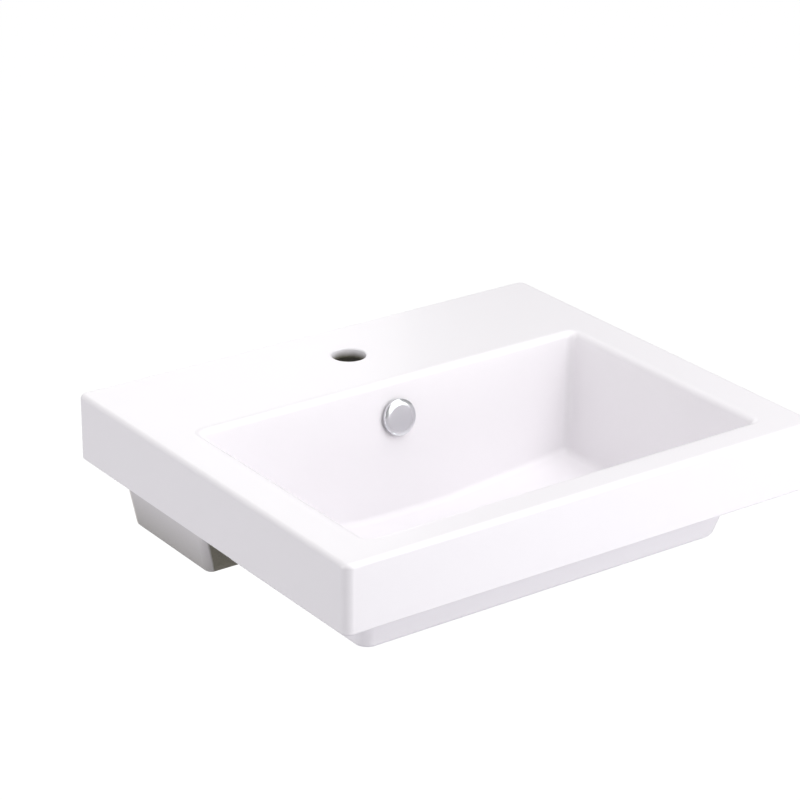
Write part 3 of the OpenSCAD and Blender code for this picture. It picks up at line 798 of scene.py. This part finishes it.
def overflow_cap():
    """Domed cap with a flat face, on a hub and a spigot."""
    f = fittings()
    rim, high, shell = f.cap_diameter / 2 / MM, f.cap_height / MM, f.cap_shell / MM
    face = f.cap_face * rim
    shoulder, low = 5.2, 2.4
    hub, spigot, step = 4, 2, 1.2
    dome = [
        (face + (rim - face) * math.sin(a), shoulder + (high - shoulder) * math.cos(a), 0)
        for a in quarter(14)
    ]
    outline = [(0, high, 0), *dome, (rim, low, 0.4), (rim - shell, low, 0.4)]
    outline += [(rim - shell, shoulder, 0), (face, high - shell, 0.5), (hub, high - shell, 0.4)]
    outline += [(hub, step, 0), (spigot, step, 0), (spigot, -8, 0.4), (0, -8, 0)]
    return turned(outline, at_overflow(), 128)


def overflow_insert():
    """Sleeve with a collar, a hub on three ribs and a groove for its ring."""
    hole = fittings().overflow_hole / 2 / MM
    sleeve, deep, collar = hole - 0.6, 9, 1.2
    bore, groove = sleeve - 2.1, hole - 1.6
    outline = [(bore, -deep, 0.3), (sleeve, -deep, 0.6), (sleeve, -5.45, 0), (groove, -5.45, 0.2)]
    outline += [(groove, -3.55, 0.2), (sleeve, -3.55, 0), (sleeve, 0, 0), (sleeve + 2, 0, 0.3)]
    outline += [(sleeve + 2, collar, 0.4), (bore, collar, 0.3)]
    hub = band(2.05, 4, -deep, collar, 0.2, 0.5, 0, 0.2)
    place = at_overflow()
    body = turned(outline, place)
    ribs = [
        bar((3.2, bore + 1), (-0.8, 0.8), (0.3 - deep, -0.3), spoke, 0.25)
        for spoke in spokes(3, 90, place)
    ]
    return carve(body, "UNION", turned(hub, place), *ribs)


def overflow_ring():
    return hoop(fittings().overflow_hole / 2 / MM - 0.8, 0.75, -4.5, at_overflow())


def waste_levels():
    """Levels of the seat and the boss, in millimetres from the rim."""
    b = basin()
    seat = -(b.bowl_depth + b.floor_fall) / MM - 1
    return seat, seat - b.floor_thickness / MM - 15.5


def waste_body():
    """Flange with a dish, and a threaded tail with overflow slots and a bridge."""
    f = fittings()
    seat, boss = waste_levels()
    flange, tail, bore = f.flange_diameter / 2 / MM, f.tail_diameter / 2 / MM, f.tail_bore / 2 / MM
    under, end = seat + 1.3, seat - TAIL_DROP
    top, groove, bridge_top = under + 2.8, end + 20, seat - BRIDGE_DROP
    depth = f.thread_depth / MM
    core = tail - depth
    neck = basin().waste_hole / 2 / MM - 0.5
    dish = f.plug_diameter / 2 / MM + 2.4
    outline = [(core, under - 4, 0.5), (neck, under - 1.2, 0.4), (neck, under, 0.2)]
    outline += [(flange - 0.2, under, 0.3), (flange, under + 1, 0.7), (flange - 4, top - 0.15, 3)]
    outline += [(dish, top, 0.5), (tail - 0.9, under, 2), (bore + 1.1, top - 5.7, 0.8)]
    outline += [(bore, top - 6.5, 0.6), (bore, end, 0.3), (tail, end, 0.8)]
    outline += [(tail, groove, 0.3), (core, groove + 0.8, 0.3)]
    place = at_waste()
    body = turned(outline, place, 128)
    pitch = f.tail_pitch / MM
    carve(body, "UNION", thread(tail, depth, pitch, groove + 2.6, under - 3.4, place, 72))
    arms = [
        bar((6, bore + 1), (-2, 2), (bridge_top - 4.7, bridge_top - 0.3), spoke, 0.7)
        for spoke in spokes(3, 30, place)
    ]
    hub = band(4.05, 8.5, bridge_top - 5, bridge_top, 0.3, 0.8, 0.8, 0.3)
    carve(body, "UNION", turned(hub, place), *arms)
    slots = [
        bar((0.8 * bore, tail + 2), (-7.5, 7.5), (boss + 8, boss + 17), spoke, 1.5)
        for spoke in spokes(4, 0, place)
    ]
    return carve(body, "DIFFERENCE", *slots)


def flange_gasket():
    seat, _ = waste_levels()
    inner = basin().waste_hole / 2 / MM + 0.5
    outer = fittings().flange_diameter / 2 / MM - 1.5
    return turned(band(inner, outer, seat, seat + 1.3, 0.2, 0.5, 0.3, 0.2), at_waste())


def washer_bore():
    return fittings().tail_diameter / 2 / MM + 0.2


def lower_gasket():
    """Thick washer with a bevelled edge, under the basin."""
    _, boss = waste_levels()
    bore = washer_bore()
    outline = [(bore, boss - 3.5, 0.3), (bore + 9.3, boss - 3.5, 0.3)]
    outline += [(bore + 10.7, boss - 2.1, 0.6), (bore + 10.7, boss, 0.3), (bore, boss, 0.3)]
    return turned(outline, at_waste())


def slip_washer():
    _, boss = waste_levels()
    bore = washer_bore()
    return turned(band(bore, bore + 9.3, boss - 5, boss - 3.5, 0.3, 0.4, 0.4, 0.3), at_waste())


def back_nut():
    _, boss = waste_levels()
    bore = fittings().tail_diameter / 2 / MM + FIT
    return hex_nut(fittings().back_nut_flats / MM, bore, boss - 13, 8, at_waste())


def cartridge_housing():
    """Cup for the spring, with a threaded shank through the bridge."""
    seat, _ = waste_levels()
    base, lid = seat - BRIDGE_DROP, seat - LID_DROP
    foot = base - 10.2
    outline = [(0, base + 3, 0), (6.9, base + 3, 0.5), (6.9, lid, 0), (8.5, lid, 0.2)]
    outline += [(8.5, base, 0.6), (3.5, base, 0.2), (3.5, foot, 0.6), (0, foot, 0)]
    housing = turned(outline, at_waste(), 64)
    return carve(housing, "UNION", thread(4, 0.5, 1.25, foot - 0.2, base + 1, at_waste()))


def cartridge_lid():
    lid = waste_levels()[0] - LID_DROP
    outline = [(3.08, lid - 2, 0.2), (6.85, lid - 2, 0.3), (6.85, lid, 0)]
    outline += [(8.5, lid, 0.2), (8.5, lid + 2.5, 0.7), (3.08, lid + 2.5, 0.4)]
    return turned(outline, at_waste(), 64)


def cartridge_nut():
    return hex_nut(13, 4 + FIT, waste_levels()[0] - CUP_NUT_DROP, 4, at_waste())


def spring_foot():
    return waste_levels()[0] - SPRING_DROP


def cartridge_spring():
    """Open coil of round wire."""
    wire, radius, tall, turns = 0.45, 6.15, 12.8, 4
    bm = bmesh.new()
    circle = wire_circle(bm, wire, radius, spring_foot() + wire, 14, filled=True)
    helix(bm, circle[0].link_faces[0], (tall - 2 * wire) / turns, turns, at_waste(), 64)
    return raw_object(bm)


def plug_levels():
    """Level of the plug's edge and of its seal, closed, in millimetres from the rim."""
    edge = waste_levels()[0] + 3.9
    return edge, edge - 3.2


def seal_radius():
    """Centre radius of the seal, clear of the steep part of the dish."""
    f = fittings()
    low = f.tail_bore / 2 / MM + 1.1
    slope = (f.tail_diameter / 2 / MM - 0.9 - low) / 2.9
    return low + 2.3 * slope - 1.8 * math.sqrt(1 + slope**2)


def plug_cap():
    """Crowned cap with a grooved neck and a boss for its stem."""
    edge, seal = plug_levels()
    plug = fittings().plug_diameter / 2 / MM
    neck, boss, bore = seal_radius() - 1.5, 7, 3.05
    crown = [(plug * i / 16, edge + 1.6 * (1 - (i / 16) ** 2), 0) for i in range(16)]
    outline = [*crown, (plug, edge, 0.35), (plug, edge - 0.6, 0.2), (plug - 1, edge - 1, 0.2)]
    outline += [(neck + 1, seal + 1.85, 0.2), (neck, seal + 1.5, 0), (neck, seal - 1.5, 0)]
    outline += [(neck + 0.7, seal - 1.5, 0.15), (neck + 0.7, seal - 2.2, 0.2)]
    outline += [(neck - 2, seal - 2.2, 0.4), (boss, seal - 1.5, 0.5), (boss, seal - 4, 0.6)]
    outline += [(bore, seal - 4, 0.3), (bore, seal + 1, 0), (0, seal + 1, 0)]
    return turned(outline, at_waste(fittings().plug_travel), 128)


def plug_seal():
    return hoop(seal_radius(), 1.45, plug_levels()[1], at_waste(fittings().plug_travel))


def plug_stem():
    top, collar = plug_levels()[1] + 1, waste_levels()[0] - COLLAR_DROP
    wide, tip = 6.6, collar - 2.2
    outline = [(0, top, 0), (3, top, 0.4), (3, collar + 3, 0.2), (wide, collar + 3, 0.4)]
    outline += [(wide, collar, 0.4), (2.5, collar, 0.1), (2.5, tip, 0.5), (0, tip, 0)]
    return turned(outline, at_waste(fittings().plug_travel), 64)


def stud(side):
    """Hanger bolt: a wall screw at one end and a nut thread at the other."""
    f = fittings()
    place = at_stud(side)
    wide = f.stud_diameter / 2 / MM
    thin = wide - 0.2
    low, high = -f.stud_in_wall / MM, f.stud_in_basin / MM
    wall_core, nut_core = 0.72 * wide, 0.86 * thin
    outline = [(0, low, 0), (0.2 * wide, low + 1, 0), (wall_core, low + 9, 1)]
    outline += [(wall_core, -5.4, 0.2), (wide, -4, 0.3), (wide, 0, 0), (thin, 0.2, 0)]
    outline += [(thin, 10, 0.2), (nut_core, 10.8, 0.2), (nut_core, high - 0.6, 0)]
    outline += [(nut_core - 0.6, high, 0), (0, high, 0)]
    body = turned(outline, place, 64)
    screw_depth, nut_depth = wide - wall_core, thin - nut_core
    carve(body, "UNION", thread(wide, screw_depth, f.screw_pitch / MM, low + 6, -4, place, 40))
    nut_thread = thread(thin, nut_depth, f.stud_pitch / MM, 9.6, high - 0.3, place, 30)
    return carve(body, "UNION", nut_thread)


def bush(side):
    bore = fittings().stud_diameter / 2 / MM - 0.15
    sleeve = basin().stud_hole / 2 / MM - 0.3
    back, rim = basin().back_panel / MM, fittings().washer_diameter / 2 / MM
    outline = [(bore, 2, 0.3), (sleeve, 2, 0.8), (sleeve, back, 0), (rim, back, 0.4)]
    outline += [(rim, back + 3, 0.8), (bore, back + 3, 0.3)]
    return turned(outline, at_stud(side), 64)


def washer(side):
    bore = fittings().stud_diameter / 2 / MM + FIT
    low, rim = basin().back_panel / MM + 3, fittings().washer_diameter / 2 / MM
    return turned(band(bore, rim, low, low + 2.5, 0.2, 0.3, 0.6, 0.3), at_stud(side), 64)


def stud_nut(side):
    bore = fittings().stud_diameter / 2 / MM - 0.15
    low = basin().back_panel / MM + 5.5
    return hex_nut(fittings().stud_nut_flats / MM, bore, low, 8, at_stud(side))


# Materials

WHITE = (1, 1, 1, 1)
GREY = (0.5, 0.5, 0.5, 1)


def effect(name, **inputs):
    """Starts a node group for a finish and returns its tree, its inputs and its outputs."""
    tree = bpy.data.node_groups.new(name, "ShaderNodeTree")
    for label, value in inputs.items():
        kind = "NodeSocketColor" if isinstance(value, tuple) else "NodeSocketFloat"
        tree.interface.new_socket(label, in_out="INPUT", socket_type=kind).default_value = value
    for label, kind in (("Color", "Color"), ("Roughness", "Float"), ("Height", "Float")):
        tree.interface.new_socket(label, in_out="OUTPUT", socket_type="NodeSocket" + kind)
    given = tree.nodes.new("NodeGroupInput").outputs
    return tree, given, tree.nodes.new("NodeGroupOutput").inputs


def send(tree, out, tone, roughness, height):
    for name, value in (("Color", tone), ("Roughness", roughness), ("Height", height)):
        tree.links.new(value, out[name])
    return tree


def object_space(tree):
    return tree.nodes.new("ShaderNodeTexCoord").outputs["Object"]


def put(tree, socket, value):
    """Links a socket to a value that is a socket too, and else sets it."""
    if isinstance(value, bpy.types.NodeSocket):
        tree.links.new(value, socket)
    else:
        socket.default_value = value


def noise(tree, place, scale, detail=3.0, roughness=0.5):
    node = tree.nodes.new("ShaderNodeTexNoise")
    for name, value in (
        ("Vector", place), ("Scale", scale), ("Detail", detail), ("Roughness", roughness)
    ):
        put(tree, node.inputs[name], value)
    return node.outputs["Fac"]


def spread(tree, value, low, high, to_low, to_high):
    """Maps a value from one range to another, clamped."""
    node = tree.nodes.new("ShaderNodeMapRange")
    names = ("Value", "From Min", "From Max", "To Min", "To Max")
    for name, number in zip(names, (value, low, high, to_low, to_high)):
        put(tree, node.inputs[name], number)
    return node.outputs["Result"]


def maths(tree, operation, *values):
    node = tree.nodes.new("ShaderNodeMath")
    node.operation = operation
    for socket, value in zip(node.inputs, values):
        put(tree, socket, value)
    return node.outputs["Value"]


def plus(tree, first, second):
    return maths(tree, "ADD", first, second)


def times(tree, first, second):
    return maths(tree, "MULTIPLY", first, second)


def mix(tree, share, first, second):
    node = tree.nodes.new("ShaderNodeMix")
    node.data_type = "RGBA"
    for name, value in (("Factor_Float", share), ("A_Color", first), ("B_Color", second)):
        put(tree, next(s for s in node.inputs if s.identifier == name), value)
    return next(s for s in node.outputs if s.identifier == "Result_Color")


def split(tree, place):
    """The three coordinates of a place."""
    node = tree.nodes.new("ShaderNodeSeparateXYZ")
    tree.links.new(place, node.inputs["Vector"])
    return node.outputs


def bare_and_shade_share(tree, place):
    """Share of bare fireclay that shows, which also paints shade.

    Fireclay is bare on the wall face, in the room, on the apron's front and in the tap hole;
    its dark colour in the last three is painted shade. The share also grows towards the
    apron's foot, as painted shade that is darker and less glossy towards the foot.
    """
    b = basin()
    x, y, z = split(tree, place)
    ragged = spread(tree, noise(tree, place, 90), 0, 1, -MM, MM)
    side = times(tree, maths(tree, "SUBTRACT", z, FOOT_Z), math.tan(b.apron_side_lean))
    side = plus(tree, side, b.apron_width / 2)
    inset = plus(tree, maths(tree, "SUBTRACT", side, maths(tree, "ABSOLUTE", x)), ragged)
    front = b.apron_depth + (b.height - b.slab_height) * math.tan(b.apron_front_lean) + MM
    behind = spread(tree, y, -front - MM, -front, 0, 1)
    under = RIM_Z - b.deck_thickness
    # Painted shade: the room and the apron's front take the dark bare colour
    room = times(tree, spread(tree, inset, 2.5 * MM, 8 * MM, 0, 1), behind)
    room = times(tree, room, spread(tree, z, under + MM, under, 0, 1))
    # Painted shade: the tap hole's wall takes the dark bare colour, from 3 mm to 9 mm below the rim
    back = plus(tree, y, b.tap_from_wall)
    radius = maths(tree, "SQRT", plus(tree, times(tree, x, x), times(tree, back, back)))
    edge = b.tap_hole / 2 + MM
    hole = spread(tree, radius, edge + 0.2 * MM, edge, 0, 1)
    deep = spread(tree, plus(tree, z, ragged), RIM_Z - 3 * MM, RIM_Z - 9 * MM, 0, 1)
    share = maths(tree, "MAXIMUM", room, times(tree, hole, deep))
    wall = spread(tree, y, -0.9 * MM, -0.3 * MM, 0, 1)
    # Painted shade: darker and less glossy towards the apron's foot, on its sides and front
    thin = times(tree, spread(tree, z, FOOT_Z, RIM_Z - b.slab_height, 0.68, 0), behind)
    return maths(tree, "MAXIMUM", maths(tree, "MAXIMUM", wall, share), thin)


def glaze_effect(name):
    """Glaze with faint waves and specks, and bare fireclay, dark where it paints shade."""
    tree, given, out = effect(name, Glaze=WHITE, Clay=GREY, Biscuit=GREY, Gloss=0.1)
    place = object_space(tree)
    # The share marks bare fireclay and paints shade, and makes those places matt
    bare = bare_and_shade_share(tree, place)
    glazed = maths(tree, "SUBTRACT", 1, bare)
    cloud = spread(tree, noise(tree, place, 9), 0.3, 0.7, 0, 0.03)
    shade = mix(tree, cloud, given["Glaze"], (0.8, 0.79, 0.77, 1))
    grain = noise(tree, place, 900, 4)
    speck = spread(tree, grain, 0.3, 0.7, 0, 0.5)
    # Painted shade: dark bare colour for the room, the apron's front and the tap hole; flecks are
    # real grain
    bare_tone_and_shade = mix(tree, speck, given["Clay"], (0.1, 0.09, 0.075, 1))
    wall = spread(tree, split(tree, place)["Y"], -3 * MM, -MM, 0, 1)
    bare_tone_and_shade = mix(tree, wall, bare_tone_and_shade, given["Biscuit"])
    uneven = spread(tree, noise(tree, place, 40), 0.35, 0.75, 0, 0.04)
    gloss = times(tree, plus(tree, given["Gloss"], uneven), glazed)
    matt = times(tree, spread(tree, grain, 0.3, 0.7, 0.75, 0.95), bare)
    waves = times(tree, noise(tree, place, 26, 2), 0.7)
    peel = times(tree, noise(tree, place, 320, 2), 0.06)
    pits = times(tree, times(tree, grain, bare), 0.8)
    height = plus(tree, waves, plus(tree, peel, pits))
    return send(tree, out, mix(tree, bare, shade, bare_tone_and_shade), plus(tree, gloss, matt), height)


def metal_effect(name):
    """Metal with fine marks and a slightly uneven tone."""
    tree, given, out = effect(name, Tone=WHITE, Dull=GREY, Roughness=0.1, Wear=0.1)
    place = object_space(tree)
    cloud = noise(tree, place, 60, 4, 0.6)
    fine = noise(tree, place, 1400, 3)
    share = times(tree, spread(tree, cloud, 0.35, 0.7, 0, 1), given["Wear"])
    tone = mix(tree, share, given["Tone"], given["Dull"])
    rough = plus(tree, given["Roughness"], times(tree, share, 0.4))
    return send(tree, out, tone, rough, times(tree, fine, given["Wear"]))


def moulded_effect(name):
    """Rubber or plastic with a fine grain and scattered patches of dust."""
    tree, given, out = effect(name, Tone=WHITE, Dull=GREY, Roughness=0.5, Wear=0.1)
    place = object_space(tree)
    grain = noise(tree, place, 1100, 3)
    cloud = spread(tree, noise(tree, place, 70, 4), 0.4, 0.75, 0, 1)
    tone = mix(tree, times(tree, cloud, given["Wear"]), given["Tone"], given["Dull"])
    rough = plus(tree, given["Roughness"], times(tree, cloud, 0.12))
    return send(tree, out, tone, rough, grain)


GLAZE = ("Glaze finish", glaze_effect)
METAL = ("Metal finish", metal_effect)
MOULDED = ("Moulded finish", moulded_effect)
# Slot, named as its colour in the settings: finish, dull colour, roughness, wear, bump in mm
FINISHES = {
    "chrome": (METAL, (0.5, 0.5, 0.52, 1), 0.18, 0.06, 0.002),
    "brass": (METAL, (0.34, 0.22, 0.1, 1), 0.24, 0.5, 0.03),
    "zinc_steel": (METAL, (0.3, 0.31, 0.34, 1), 0.28, 0.5, 0.03),
    "spring_steel": (METAL, (0.2, 0.2, 0.21, 1), 0.2, 0.3, 0.01),
    "rubber": (MOULDED, (0.12, 0.12, 0.12, 1), 0.55, 0.35, 0.05),
    "white_plastic": (MOULDED, (0.5, 0.48, 0.44, 1), 0.35, 0.15, 0.02),
    "grey_plastic": (MOULDED, (0.3, 0.3, 0.3, 1), 0.4, 0.2, 0.02),
}


def new_material(name):
    """A material with its tree and its surface."""
    made = bpy.data.materials.new(name)
    made.use_nodes = True
    tree = made.node_tree
    return made, tree, next(n for n in tree.nodes if n.type == "BSDF_PRINCIPLED")


def finished(name, finish, bump, values, **shader):
    """Material whose colour, roughness and bump come from a finish, shared as a node group."""
    made, tree, surface = new_material(name)
    for socket, value in shader.items():
        surface.inputs[socket.replace("_", " ")].default_value = value
    label, maker = finish
    node = tree.nodes.new("ShaderNodeGroup")
    node.node_tree = bpy.data.node_groups.get(label) or maker(label)
    for socket, value in values.items():
        node.inputs[socket].default_value = value
    relief = tree.nodes.new("ShaderNodeBump")
    relief.inputs["Distance"].default_value = bump * MM
    tree.links.new(node.outputs["Height"], relief.inputs["Height"])
    tree.links.new(relief.outputs["Normal"], surface.inputs["Normal"])
    tree.links.new(node.outputs["Color"], surface.inputs["Base Color"])
    tree.links.new(node.outputs["Roughness"], surface.inputs["Roughness"])
    return made


def ceramic():
    b = basin()
    values = {"Glaze": (*b.glaze, 1), "Clay": (*b.shaded_clay, 1), "Biscuit": (*b.biscuit, 1)}
    values["Gloss"] = 0.28
    shader = {"IOR": 1.5, "Coat_Weight": 0.1, "Coat_Roughness": 0.08}
    return finished("Glazed ceramic", GLAZE, 0.06, values, **shader)


def material(slot):
    """Material of a slot, made for the first piece that asks for it."""
    if slot == "ceramic":
        return ceramic()
    name = slot.replace("_", " ").capitalize()
    finish, dull, roughness, wear, bump = FINISHES[slot]
    tone = (*getattr(fittings(), slot), 1)
    values = {"Tone": tone, "Dull": dull, "Roughness": roughness, "Wear": wear}
    found = bpy.data.materials.get(name)
    return found or finished(name, finish, bump, values, Metallic=float(finish is METAL))


# Operators


class BASIN_OT_ceramic(bpy.types.Operator):
    """Builds the glazed body: slab, bowl, apron and overflow channel"""

    bl_idname = "basin.ceramic"
    bl_label = "Ceramic body"

    def execute(self, context):
        nodes = ("basin_rim", "bowl_ledge", "basin_deck", "bowl_shell", "rear_apron")
        finish_piece(ceramic_body(), "glazed_body", "ceramic", "basin", *nodes)
        return {"FINISHED"}


class BASIN_OT_overflow(bpy.types.Operator):
    """Builds the overflow cap, its insert and the ring that grips it"""

    bl_idname = "basin.overflow"
    bl_label = "Overflow"

    def execute(self, context):
        finish_piece(overflow_cap(), "overflow_cover", "chrome", "basin", "overflow_cap")
        finish_piece(
            overflow_insert(), "overflow_sleeve", "white_plastic", "basin", "overflow_insert"
        )
        finish_piece(overflow_ring(), "overflow_o_ring", "rubber", "basin", "overflow_ring")
        return {"FINISHED"}


class BASIN_OT_waste(bpy.types.Operator):
    """Builds the waste body with its gaskets, washer and nut"""

    bl_idname = "basin.waste"
    bl_label = "Waste"

    def execute(self, context):
        finish_piece(waste_body(), "waste_fitting", "chrome", "basin", "waste_body")
        finish_piece(flange_gasket(), "upper_seal", "rubber", "basin", "flange_gasket")
        finish_piece(lower_gasket(), "lower_seal", "rubber", "basin", "lower_gasket")
        finish_piece(slip_washer(), "sliding_washer", "grey_plastic", "basin", "slip_washer")
        finish_piece(back_nut(), "tail_nut", "brass", "basin", "back_nut")
        return {"FINISHED"}


class BASIN_OT_cartridge(bpy.types.Operator):
    """Builds the press-to-close cartridge"""

    bl_idname = "basin.cartridge"
    bl_label = "Cartridge"

    def execute(self, context):
        finish_piece(
            cartridge_housing(), "spring_cup", "grey_plastic", "basin", "cartridge_housing"
        )
        finish_piece(cartridge_lid(), "cup_lid", "white_plastic", "basin", "cartridge_lid")
        finish_piece(cartridge_nut(), "cup_nut", "brass", "basin", "cartridge_nut")
        spring = finish_piece(
            cartridge_spring(), "plug_spring", "spring_steel", "basin", "cartridge_spring"
        )
        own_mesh(spring)
        return {"FINISHED"}


class BASIN_OT_plug(bpy.types.Operator):
    """Builds the plug with its seal and stem"""

    bl_idname = "basin.plug"
    bl_label = "Plug"

    def execute(self, context):
        finish_piece(plug_cap(), "plug_crown", "chrome", "plug", "plug_cap")
        finish_piece(plug_seal(), "plug_o_ring", "rubber", "plug", "plug_seal")
        finish_piece(plug_stem(), "plug_rod", "zinc_steel", "plug", "plug_stem")
        return {"FINISHED"}


class BASIN_OT_fixings(bpy.types.Operator):
    """Builds the two wall studs with their bushes, washers and nuts"""

    bl_idname = "basin.fixings"
    bl_label = "Wall fixings"

    def execute(self, context):
        for maker, name, slot, node in (
            (stud, "hanger_bolts", "zinc_steel", "wall_studs"),
            (bush, "stud_sleeves", "white_plastic", "stud_bushes"),
            (washer, "stud_discs", "zinc_steel", "stud_washers"),
            (stud_nut, "stud_hex_nuts", "zinc_steel", "stud_nuts"),
        ):
            finish_piece(joined([maker(-1), maker(1)]), name, slot, "basin", node)
        return {"FINISHED"}


# Stage


# Name, which is also its power in the settings, place and size of each lamp
LAMPS = (
    ("key", (0.8, -2.3, 1.7), 1.8),
    ("overhead", (0.55, -0.5, 2.4), 2.0),
    ("front", (1.3, -2.7, 0.0), 1.6),
    ("left", (-2.8, 0.3, 0.6), 1.8),
    ("rear", (0.9, 2.6, 0.9), 1.8),
)


def studio_world(sky, mirrored):
    """White behind the object, softer in reflections and softer still as light."""
    world = bpy.data.worlds.new("Studio")
    bpy.context.scene.world = world
    world.use_nodes = True
    tree = world.node_tree
    background = next(n for n in tree.nodes if n.type == "BACKGROUND")
    background.inputs["Color"].default_value = WHITE
    path = tree.nodes.new("ShaderNodeLightPath")
    reflected = spread(tree, path.outputs["Is Glossy Ray"], 0, 1, sky, mirrored)
    seen = maths(tree, "MAXIMUM", path.outputs["Is Camera Ray"], reflected)
    tree.links.new(seen, background.inputs["Strength"])


def floor_material():
    """Pale floor that looks white to the camera apart from the object's shadow."""
    made, tree, surface = new_material("Pale floor")
    camera_ray = tree.nodes.new("ShaderNodeLightPath").outputs["Is Camera Ray"]
    cloud = noise(tree, object_space(tree), 3)
    shade = mix(tree, cloud, (0.84, 0.84, 0.84, 1), (0.8, 0.8, 0.8, 1))
    seen = mix(tree, camera_ray, (0.56, 0.55, 0.59, 1), shade)
    tree.links.new(seen, surface.inputs["Base Color"])
    surface.inputs["Roughness"].default_value = 0.6
    glow = tree.nodes.new("ShaderNodeEmission")
    glow.inputs["Color"].default_value = WHITE
    glow.inputs["Strength"].default_value = 1.08
    both = tree.nodes.new("ShaderNodeMixShader")
    tree.links.new(times(tree, camera_ray, 0.9), both.inputs["Fac"])
    tree.links.new(surface.outputs["BSDF"], both.inputs[1])
    tree.links.new(glow.outputs["Emission"], both.inputs[2])
    out = next(n for n in tree.nodes if n.type == "OUTPUT_MATERIAL")
    tree.links.new(both.outputs["Shader"], out.inputs["Surface"])
    return made


def floor_plane(level):
    bm = bmesh.new()
    place = Matrix.Translation((0, 0, level))
    bmesh.ops.create_grid(bm, x_segments=1, y_segments=1, size=20, matrix=place)
    floor = raw_object(bm)
    floor.name = "floor"
    floor.data.materials.append(floor_material())


def soft_lamp(name, place, target, size, power):
    """Square area lamp aimed at a point."""
    data = bpy.data.lights.new(name, "AREA")
    data.shape = "SQUARE"
    data.size = size
    data.energy = power
    light = bpy.data.objects.new(name, data)
    bpy.context.scene.collection.objects.link(light)
    light.location = place
    light.rotation_euler = (Vector(target) - Vector(place)).to_track_quat("-Z", "Y").to_euler()


def photo_camera(s):
    """Camera at the photograph's place, with its roll."""
    target = Vector((s.target_x, s.target_y, RIM_Z))
    level = math.cos(s.elevation)
    back = (math.sin(s.azimuth) * level, -math.cos(s.azimuth) * level, math.sin(s.elevation))
    back = Vector(back)
    right = Vector((math.cos(s.azimuth), math.sin(s.azimuth), 0))
    up = back.cross(right)
    side = math.cos(s.roll) * right + math.sin(s.roll) * up
    top = back.cross(side)
    data = bpy.data.cameras.new("camera")
    data.sensor_width = 36
    data.lens = data.sensor_width * s.focal_pixels / s.frame_pixels
    data.clip_end = 100
    camera = bpy.data.objects.new("camera", data)
    bpy.context.scene.collection.objects.link(camera)
    turn_to = Matrix((side, top, back)).transposed().to_4x4()
    camera.matrix_world = Matrix.Translation(target + s.distance * back) @ turn_to
    bpy.context.scene.camera = camera


class BASIN_OT_stage(bpy.types.Operator):
    """Sets up the floor, the lamps, the surroundings and the camera"""

    bl_idname = "basin.stage"
    bl_label = "Stage"

    def execute(self, context):
        scene = context.scene
        s = scene.basin_stage
        floor_plane(RIM_Z - s.rim_above_floor)
        studio_world(s.sky, s.mirrored)
        middle = (0, -0.23, RIM_Z)
        for name, place, size in LAMPS:
            soft_lamp(name, place, middle, size, getattr(s, name))
        photo_camera(s)
        scene.view_settings.view_transform = "Standard"
        return {"FINISHED"}


class BASIN_PT_panel(bpy.types.Panel):
    """Lists the basin's operators"""

    bl_idname = "BASIN_PT_panel"
    bl_label = "Wall-hung basin"
    bl_space_type = "VIEW_3D"
    bl_region_type = "UI"
    bl_category = "Basin"

    def draw(self, context):
        for operator in OPERATORS:
            self.layout.operator(operator.bl_idname)


OPERATORS = (
    BASIN_OT_ceramic,
    BASIN_OT_overflow,
    BASIN_OT_waste,
    BASIN_OT_cartridge,
    BASIN_OT_plug,
    BASIN_OT_fixings,
    BASIN_OT_stage,
)
SETTINGS = (BasinSettings, FittingSettings, StageSettings)


def register():
    for item in (*SETTINGS, *OPERATORS, BASIN_PT_panel):
        bpy.utils.register_class(item)
    bpy.types.Scene.basin = PointerProperty(
        type=BasinSettings, name="Basin", description="Sizes of the ceramic body"
    )
    bpy.types.Scene.basin_fittings = PointerProperty(
        type=FittingSettings, name="Fittings", description="Sizes and colours of the fittings"
    )
    bpy.types.Scene.basin_stage = PointerProperty(
        type=StageSettings, name="Stage", description="Camera, lamps and floor"
    )


def unregister():
    del bpy.types.Scene.basin_stage
    del bpy.types.Scene.basin_fittings
    del bpy.types.Scene.basin
    for item in reversed((*SETTINGS, *OPERATORS, BASIN_PT_panel)):
        bpy.utils.unregister_class(item)


def main():
    register()
    bpy.ops.basin.ceramic()
    bpy.ops.basin.overflow()
    bpy.ops.basin.waste()
    bpy.ops.basin.cartridge()
    bpy.ops.basin.plug()
    bpy.ops.basin.fixings()
    bpy.ops.basin.stage()


if __name__ == "__main__":
    main()
